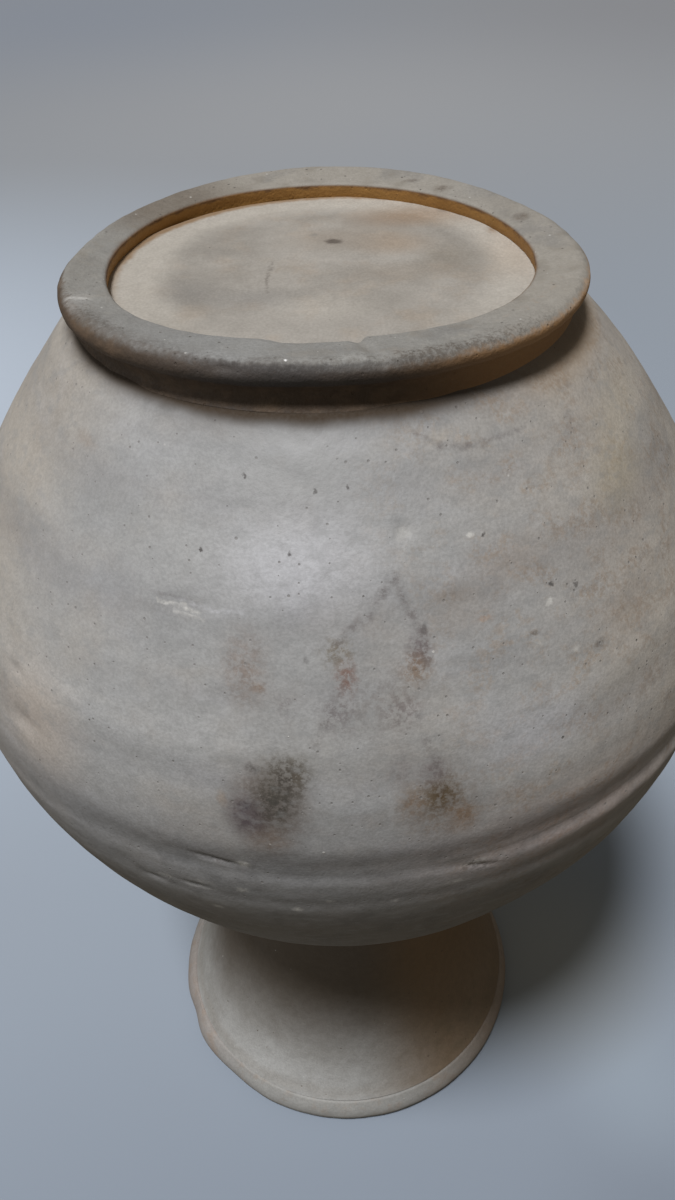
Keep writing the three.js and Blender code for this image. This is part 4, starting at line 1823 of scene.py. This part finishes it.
class FootFinish(Finish):
    """The foot ring's clay: rubbed and sandy on top, black with grime and painted shade below, iron
    brown inside with painted shade just under the rim.
    """

    NAME = "foot_fired_clay"
    GLOSS = (0.66, 0.15)
    tone: Colour = (0.228, 0.222, 0.21)
    light: Colour = (0.272, 0.25, 0.22)
    slate: Colour = (0.165, 0.16, 0.155)
    pewter: Colour = (0.235, 0.24, 0.245)
    grime_and_shade: Colour = (0.06, 0.037, 0.021)
    umber: Colour = (0.105, 0.066, 0.038)
    warm_shade: Colour = (0.35, 0.195, 0.085)
    rust: Colour = (0.33, 0.16, 0.03)
    rim_shade: Colour = (0.11, 0.045, 0.008)
    black: Colour = (0.04, 0.036, 0.035)
    soil: Colour = (0.075, 0.06, 0.046)
    chalk: Colour = (0.5, 0.49, 0.47)

    def lay(self) -> None:
        """Lays the rubbed top first, then the dirt and painted shade below its edge."""
        fine = self.noise(1.5, 6.0, 0.8)
        self.lay_top(fine)
        self.lay_marks()
        self.skin(0.12, 0.24)
        self.scatter(1.5, 0.22, 0.4, (0.08, 0.07, 0.06), -0.1)
        self.scatter(1.9, 0.2, 0.22, self.chalk, 0.06)
        self.lay_dirt_and_shade(fine)

    def lay_top(self, fine: Socket) -> None:
        """Lays the tones of the rubbed top and the sandy soil towards its front edge.

        Args:
            fine: The fine pattern that breaks up the edge of the dirt.
        """
        ease = self.wiring.ease
        sides = self.wiring.sum("MAXIMUM", self.beside(18.0, 60.0), self.aside(110.0, 150.0))
        self.tint(self.light, sides, 0.8)
        self.cloud(9.0, self.slate, 0.5, low=0.48, high=0.7)
        self.cloud(5.0, self.light, 0.45, low=0.52, high=0.72)
        self.cloud(4.0, (0.15, 0.13, 0.105), 0.4, low=0.5, high=0.68)
        self.tint(self.slate, self.within(self.turn, -38.0, 34.0), 0.4)
        radius = self.around(4.0, 0.35)["Radius"]
        front = self.aside(76.0, 36.0, -16.0)
        edge = self.times(front, ease(radius, 41.5, 46.0))
        self.tint(self.soil, edge, 0.2)
        sandy = ease(self.plus(fine, self.times(edge, 0.2)), 0.54, 0.76)
        self.tint(self.soil, sandy, ease(edge, 0.0, 0.45), 0.75)
        self.tint(self.pewter, self.within(self.turn, -26.0, 44.0), 0.45)
        self.tint(self.soil, front, ease(radius, 46.0, 47.4), 0.45)

    def lay_dirt_and_shade(self, fine: Socket) -> None:
        """Lays grime and painted shade under the ring's edge, a painted warm shade at its right, and
        the iron brown of its inner wall, darkened just under the rim as painted shade.

        Args:
            fine: The fine pattern that breaks up the black along the ring's front edge.
        """
        ease = self.wiring.ease
        radius, _, height = self.around(1.6, 0.8)
        rim = ease(radius, 44.4, 45.4)
        start = self.plus(self.times(self.beside(10.0, -14.0), rim, 0.9), 230.3)
        below = ease(height, start, self.wiring.sum("SUBTRACT", start, 1.5))
        uneven = self.clouds(4.0, flatness=1.8, low=0.4, high=0.75)
        # Below the ring's edge: dark grime with painted shade, turning at the right into a painted warm
        # shade.
        dirt_and_shade = self.wiring.blend(uneven, self.grime_and_shade, self.umber)
        dirt_and_shade = self.wiring.blend(self.beside(6.0, 46.0), dirt_and_shade, self.warm_shade)
        self.tint(dirt_and_shade, below, ease(radius, 40.0, 42.0), 0.96)
        black = self.times(self.within(self.turn, -10.0, 38.0), ease(height, 231.1, 230.3))
        self.tint(self.black, black, rim, ease(fine, 0.2, 0.45), 0.9)
        # Inside the ring: iron brown, darkened just under the rim as painted shade.
        inner = self.times(ease(self.radius, 41.4, 40.6), ease(self.height, 229.9, 229.4))
        deep = ease(self.plus(self.height, self.times(uneven, 0.6)), 229.0, 229.9)
        rim_shade = self.wiring.blend(deep, self.rust, self.rim_shade)
        self.tint(rim_shade, inner, self.aside(24.0, 46.0), 0.95)

    def lay_marks(self) -> None:
        """Lays the scuffs on the ring's top and dark marks of grime with painted shade just inside its
        far rim.
        """
        grime_and_shade, chalk = self.grime_and_shade, self.chalk
        self.mark(
            Stain((-40.2, -18.0, 231.0), (3.4, 1.0, 3.0), chalk, 0.8, 0.1, 0.3),
            Stain((46.2, 8.0, 231.0), (1.0, 3.6, 3.0), chalk, 0.6, 0.1, 0.3),
            Stain((-6.2, -43.8, 230.4), (0.5, 0.5, 0.8), (0.9, 0.9, 0.9), 1.0, 0.4, 0.0),
            # Grime with painted shade just inside the far rim.
            Stain((18.0, 35.5, 230.4), (2.6, 1.2, 2.0), grime_and_shade, 0.7, 0.0, 0.5),
            Stain((24.0, 30.0, 229.6), (3.0, 2.4, 2.4), grime_and_shade, 0.8, 0.1, 0.5),
            Stain((36.6, 12.0, 229.6), (2.4, 3.4, 2.4), grime_and_shade, 0.7, 0.1, 0.5),
            Stain((-32.0, 29.0, 231.0), (24.0, 22.0, 9.0), (0.14, 0.118, 0.095), 0.9, 0.25, 0.1),
            Stain((-42.0, -4.0, 231.0), (7.0, 14.0, 9.0), (0.17, 0.158, 0.14), 0.35, 0.0, 0.2),
            Stain((-41.0, -20.0, 231.0), (5.0, 7.0, 9.0), (0.36, 0.355, 0.35), 0.5, 0.0, 0.3),
            Stain((3.0, -44.0, 231.0), (7.0, 3.4, 9.0), (0.3, 0.3, 0.29), 0.6, 0.0, 0.5),
            Stain((-17.0, -41.6, 231.0), (10.0, 3.0, 9.0), (0.29, 0.295, 0.3), 0.5, 0.0, 0.5),
            Stain((38.0, 22.0, 231.0), (12.0, 14.0, 9.0), (0.19, 0.175, 0.155), 0.5, 0.0, 0.2),
        )


class BaseFinish(Finish):
    """The sunk base's smooth clay, cream at its border and cloudy grey in the middle."""

    NAME = "base_fired_clay"
    GLOSS = (0.6, 0.12)
    tone: Colour = (0.318, 0.296, 0.27)
    cream: Colour = (0.395, 0.368, 0.33)
    grey: Colour = (0.225, 0.207, 0.185)
    orange: Colour = (0.31, 0.215, 0.14)
    peach: Colour = (0.31, 0.25, 0.195)
    rust: Colour = (0.2, 0.11, 0.04)
    soot: Colour = (0.07, 0.055, 0.045)
    floor_height: float = 227.0

    def lay(self) -> None:
        """Lays the cloudy middle, the cream border, the stains and the rusty edge."""
        radius = self.around(7.0, 0.06)["Radius"]
        near = self.aside(20.0, 70.0)
        self.cloud(19.0, self.grey, 0.55, low=0.4, high=0.64)
        self.cloud(8.0, self.grey, 0.3, low=0.45, high=0.7)
        self.cloud(10.0, self.peach, 0.4, slant=0.3, low=0.48, high=0.7)
        self.tint(self.cream, self.wiring.ease(radius, 26.0, 33.0), near, 0.85)
        broken = self.clouds(13.0, low=0.4, high=0.62)
        self.tint(self.grey, self.within(radius, 25.5, 3.5), near, broken, 0.55)
        self.lay_marks()
        self.skin(0.02, 0.08)
        self.scatter(3.6, 0.2, 0.1, (0.09, 0.07, 0.055), -0.06)
        edge = self.wiring.ease(self.around(1.6, 0.3)["Radius"], 36.2, 37.6)
        self.tint(self.rust, edge, self.aside(60.0, 110.0), 0.8)

    def lay_marks(self) -> None:
        """Lays the clouds, the sooty spots and the fine crack of the floor."""
        cream, grey, soot, up = self.cream, self.grey, self.soot, self.floor_height
        for across, deep, wide, long, colour, amount, speckle in (
            (17.0, 25.0, 18.0, 10.0, (0.25, 0.17, 0.11), 0.75, 0.1),
            (-13.0, -12.0, 14.0, 8.0, (0.21, 0.2, 0.19), 0.6, 0.1),
            (33.0, -2.0, 6.0, 12.0, (0.3, 0.25, 0.2), 0.3, 0.1),
            (13.0, 11.0, 11.0, 8.0, (0.34, 0.25, 0.175), 0.7, 0.1),
            (22.0, 3.0, 8.0, 11.0, (0.175, 0.15, 0.12), 0.7, 0.2),
            (13.0, -3.0, 14.0, 7.0, (0.22, 0.185, 0.15), 0.5, 0.1),
            (-23.0, -8.0, 9.0, 9.0, (0.19, 0.18, 0.17), 0.6, 0.2),
            (-20.0, 10.0, 12.0, 4.0, (0.2, 0.185, 0.165), 0.5, 0.2),
            (-4.0, 6.0, 9.0, 5.0, self.tone, 0.5, 0.1),
            (4.0, 14.0, 16.0, 9.0, self.orange, 0.25, 0.1),
            (33.0, 4.0, 7.0, 16.0, (0.42, 0.36, 0.3), 0.5, 0.0),
            (0.0, -17.0, 12.0, 8.0, cream, 0.5, 0.0),
            (-16.0, -2.0, 14.0, 14.0, grey, 0.35, 0.1),
            (-20.0, 17.0, 11.0, 8.0, grey, 0.35, 0.1),
            (22.0, 14.0, 9.0, 12.0, grey, 0.45, 0.1),
            (8.0, 12.0, 19.0, 9.0, grey, 0.5, 0.1),
        ):
            self.mark(Stain((across, deep, up), (wide, long, 9.0), colour, amount, 0.0, speckle))
        self.mark(
            Stain((1.8, 12.8, up), (2.2, 1.8, 3.0), soot, 0.85, 0.4, 0.1),
            Stain((-1.8, 16.6, up), (1.4, 1.4, 3.0), grey, 0.8, 0.2, 0.1),
            Stain((24.5, 27.0, up), (2.6, 1.4, 3.0), soot, 0.6, 0.0, 0.4),
            Stain((32.0, 15.0, up), (1.6, 3.0, 3.0), self.rust, 0.7, 0.0, 0.4),
            Scratch(((-10.2, -8.0, up), (-10.4, -3.0, up), (-9.6, 2.4, up)), 0.6, soot, 0.45, 0.5),
        )


class InnerFinish(Finish):
    """The rough clay inside, smeared by the potter's fingers."""

    NAME = "inner_fired_clay"
    tone: Colour = (0.22, 0.205, 0.185)
    brown: Colour = (0.15, 0.125, 0.1)

    def lay(self) -> None:
        """Lays the smears and the pits."""
        self.cloud(12.0, self.brown, 0.6, flatness=2.0)
        self.skin(0.12, 0.3)
        self.scatter(2.0, 0.3, 0.3, (0.09, 0.075, 0.06), -0.1)
        self.roughness = self.wiring.ease(self.grain, -0.9, 0.9)


# Room


@dataclass
class Studio:
    """The floor, the lamps and the camera."""

    floor_size: float = 8.0
    floor_roughness: float = 0.9
    near_colour: Colour = (0.226, 0.262, 0.315)
    stretches: tuple[tuple[float, float, Colour], ...] = (
        (0.15, 1.2, (0.216, 0.229, 0.25)),
        (0.02, -0.13, (0.194, 0.228, 0.283)),
        (1.2, 3.6, (0.19, 0.194, 0.203)),
    )
    # Painted patches of light and shade on the floor and backdrop: place, reach, share and colour.
    light_and_shade_patches: tuple[tuple[Place, float, float, Colour], ...] = (
        ((0.085, -0.1, 0.0), 0.06, 0.5, (0.12, 0.14, 0.175)),
        ((0.08, -0.042, 0.0), 0.03, 0.5, (0.26, 0.31, 0.37)),
        ((0.06, 0.0, 0.0), 0.05, 0.6, (0.34, 0.35, 0.34)),
        ((-0.14, 0.03, 0.0), 0.07, 0.4, (0.2, 0.225, 0.27)),
        ((0.02, 1.1, 0.0), 0.7, 0.5, (0.28, 0.285, 0.3)),
        ((-0.45, 1.75, 0.0), 0.9, 0.5, (0.16, 0.19, 0.25)),
        ((0.62, 1.6, 0.0), 0.8, 0.5, (0.17, 0.17, 0.185)),
    )
    # The glow is a painted pool of window light on the floor.
    glow_place: Place = (-0.36, 0.35, 0.0)
    glow_reach: float = 0.58
    glow_fall: float = 1.5
    glow_amount: float = 1.15
    glow_colour: Colour = (0.43, 0.49, 0.58)
    bounce_colour: Colour = (0.105, 0.095, 0.076)
    room_colour: Colour = (0.16, 0.149, 0.128)
    haze_colour: Colour = (0.27, 0.285, 0.31)
    camera_place: Place = (-0.4 * MM, -174.8 * MM, 294.4 * MM)
    camera_pitch: float = 39.48
    camera_roll: float = -2.46
    focal_pixels: float = 1000.0
    frame_pixels: float = 1200.0
    film: float = 36.0
    sun_energy: float = 3.4
    sun_angle: float = 13.0
    sun_place: Place = (-0.175, -0.275, 0.945)
    window_size: float = 0.5
    window_energy: float = 0.7
    window_colour: Colour = (0.92, 0.96, 1.0)
    window_place: Place = (-0.75, -0.12, 0.36)
    window_aim: Place = (0.0, 0.0, 0.12)

    def build_camera(self) -> None:
        """Sets the camera at the photograph's place and angle."""
        data = bpy.data.cameras.new("photo_camera")
        data.sensor_width = self.film
        data.lens = self.film * self.focal_pixels / self.frame_pixels
        data.clip_start = 10.0 * MM
        camera = bpy.data.objects.new("photo_camera", data)
        bpy.context.scene.collection.objects.link(camera)
        pitch = math.radians(self.camera_pitch)
        roll = math.radians(self.camera_roll)
        ahead = Vector((0.0, math.cos(pitch), -math.sin(pitch)))
        level = Vector((1.0, 0.0, 0.0))
        head = level.cross(ahead)
        side = level * math.cos(roll) + head * math.sin(roll)
        top = head * math.cos(roll) - level * math.sin(roll)
        turn = Matrix((side, top, -ahead)).transposed().to_4x4()
        camera.matrix_world = Matrix.Translation(self.camera_place) @ turn
        bpy.context.scene.camera = camera

    def build_floor(self) -> None:
        """Lays a plain pale floor."""
        bpy.ops.object.select_all(action="DESELECT")
        bpy.ops.mesh.primitive_plane_add(size=self.floor_size, location=ORIGIN)
        floor = bpy.context.active_object
        floor.name = "floor"
        floor.data.materials.append(self.paper())

    def paper(self) -> bpy.types.Material:
        """Mixes the floor's pale paper, greyer far away, with painted patches of light and shade and a
        painted pool of window light.

        Returns:
            The floor's material. Its bounce on to the jar is that of a darker, warmer table.
        """
        material = bpy.data.materials.new("floor_paper")
        material.use_nodes = True
        wiring = Wiring(material.node_tree)
        place = wiring.add("ShaderNodeTexCoord").outputs["Object"]
        away = wiring.add("ShaderNodeSeparateXYZ", place).outputs["Y"]
        colour = self.near_colour
        for start, end, tone in self.stretches:
            colour = wiring.blend(wiring.ease(away, start, end), colour, tone)
        # Painted patches of light and shade.
        for spot, size, amount, tone in self.light_and_shade_patches:
            near = wiring.ease(wiring.vector("DISTANCE", place, spot, output=1), size, 0.0)
            colour = wiring.blend(wiring.sum("MULTIPLY", near, amount), colour, tone)
        # A painted pool of window light, brightest near the glow's place.
        reach = wiring.vector("DISTANCE", place, self.glow_place, output=1)
        glow = wiring.sum("SUBTRACT", 1.0, wiring.sum("DIVIDE", reach, self.glow_reach))
        glow = wiring.sum("POWER", wiring.sum("MAXIMUM", glow, 0.0), self.glow_fall)
        colour = wiring.blend(wiring.sum("MULTIPLY", glow, self.glow_amount), colour, self.glow_colour)
        shader = material.node_tree.nodes["Principled BSDF"]
        self.show(wiring, shader.inputs["Base Color"], self.bounce_colour, colour)
        shader.inputs["Roughness"].default_value = self.floor_roughness
        return material

    def show(self, wiring: Wiring, socket: Socket, lit: Feed, seen: Feed) -> None:
        """Gives a socket one colour for the light on the jar and another one for the camera."""
        ray = wiring.add("ShaderNodeLightPath").outputs["Is Camera Ray"]
        wiring.feed(socket, wiring.blend(ray, lit, seen))

    def build_lamps(self) -> None:
        """Hangs one soft lamp high to the front left and a window at the left, in a dim room."""
        sun = bpy.data.lights.new("overhead_lamp", "SUN")
        sun.energy = self.sun_energy
        sun.angle = math.radians(self.sun_angle)
        self.hang(sun, self.sun_place, ORIGIN)
        window = bpy.data.lights.new("window_lamp", "AREA")
        window.shape = "DISK"
        window.size = self.window_size
        window.energy = self.window_energy
        window.color = self.window_colour
        self.hang(window, self.window_place, self.window_aim)
        world = bpy.data.worlds.new("room")
        world.use_nodes = True
        background = world.node_tree.nodes["Background"].inputs["Color"]
        self.show(Wiring(world.node_tree), background, self.room_colour, self.haze_colour)
        bpy.context.scene.world = world

    def hang(self, light: bpy.types.Light, place: Place, aim: Place) -> None:
        """Hangs a lamp at a place and turns it to a point.

        Args:
            light: The lamp's data.
            place: Where it hangs.
            aim: The point that it shines on.
        """
        lamp = bpy.data.objects.new(light.name, light)
        bpy.context.scene.collection.objects.link(lamp)
        lamp.location = place
        lamp.rotation_euler = (Vector(place) - Vector(aim)).to_track_quat("Z", "Y").to_euler()

    def build(self) -> None:
        """Sets up the whole room."""
        self.build_camera()
        self.build_floor()
        self.build_lamps()
        bpy.context.scene.view_settings.view_transform = "Standard"


def put_in_frame(piece: bpy.types.Object, node: str, finish: Finish) -> None:
    """Gives a piece its finish and sets it in the place of its solid.

    Args:
        piece: The finished mesh object.
        node: The solid that the piece stands for.
        finish: The piece's finish.
    """
    piece.data.materials.clear()
    piece.data.materials.append(finish.material)
    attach(piece, BODY)
    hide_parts(node)
    log.info("%s: %d faces for %s", piece.name, len(piece.data.polygons), node)


def main() -> None:
    """Builds the room and every piece of the jar, and reports each one."""
    logging.basicConfig(level=logging.INFO, format="%(name)s: %(message)s")
    Studio().build()
    trace = WallTrace(WallLine())
    effects = Effects()
    body = BodyFinish(effects, trace)
    neck = NeckFinish(effects)
    for node, piece in zip(JarWall.NAMES, JarWall(trace).build()):
        slot, finish = ("neck_clay", neck) if node == "neck_collar" else ("body_clay", body)
        put_in_frame(piece, node, finish)
    put_in_frame(MouthLip(trace).build(), "mouth_lip", LipFinish(effects))
    put_in_frame(FootRing().build(), "foot_ring", FootFinish(effects))
    put_in_frame(BaseDisc().build(), "base_disc", BaseFinish(effects))
    inner = InnerFinish(effects)
    for coil in (
        JointCoil("neck_joint_coil", trace, 84.0 * MM),
        JointCoil("belly_joint_coil", trace, 158.0 * MM, width=20.0 * MM, thickness=2.2 * MM),
    ):
        put_in_frame(coil.build(), coil.name, inner)


if __name__ == "__main__":
    main()
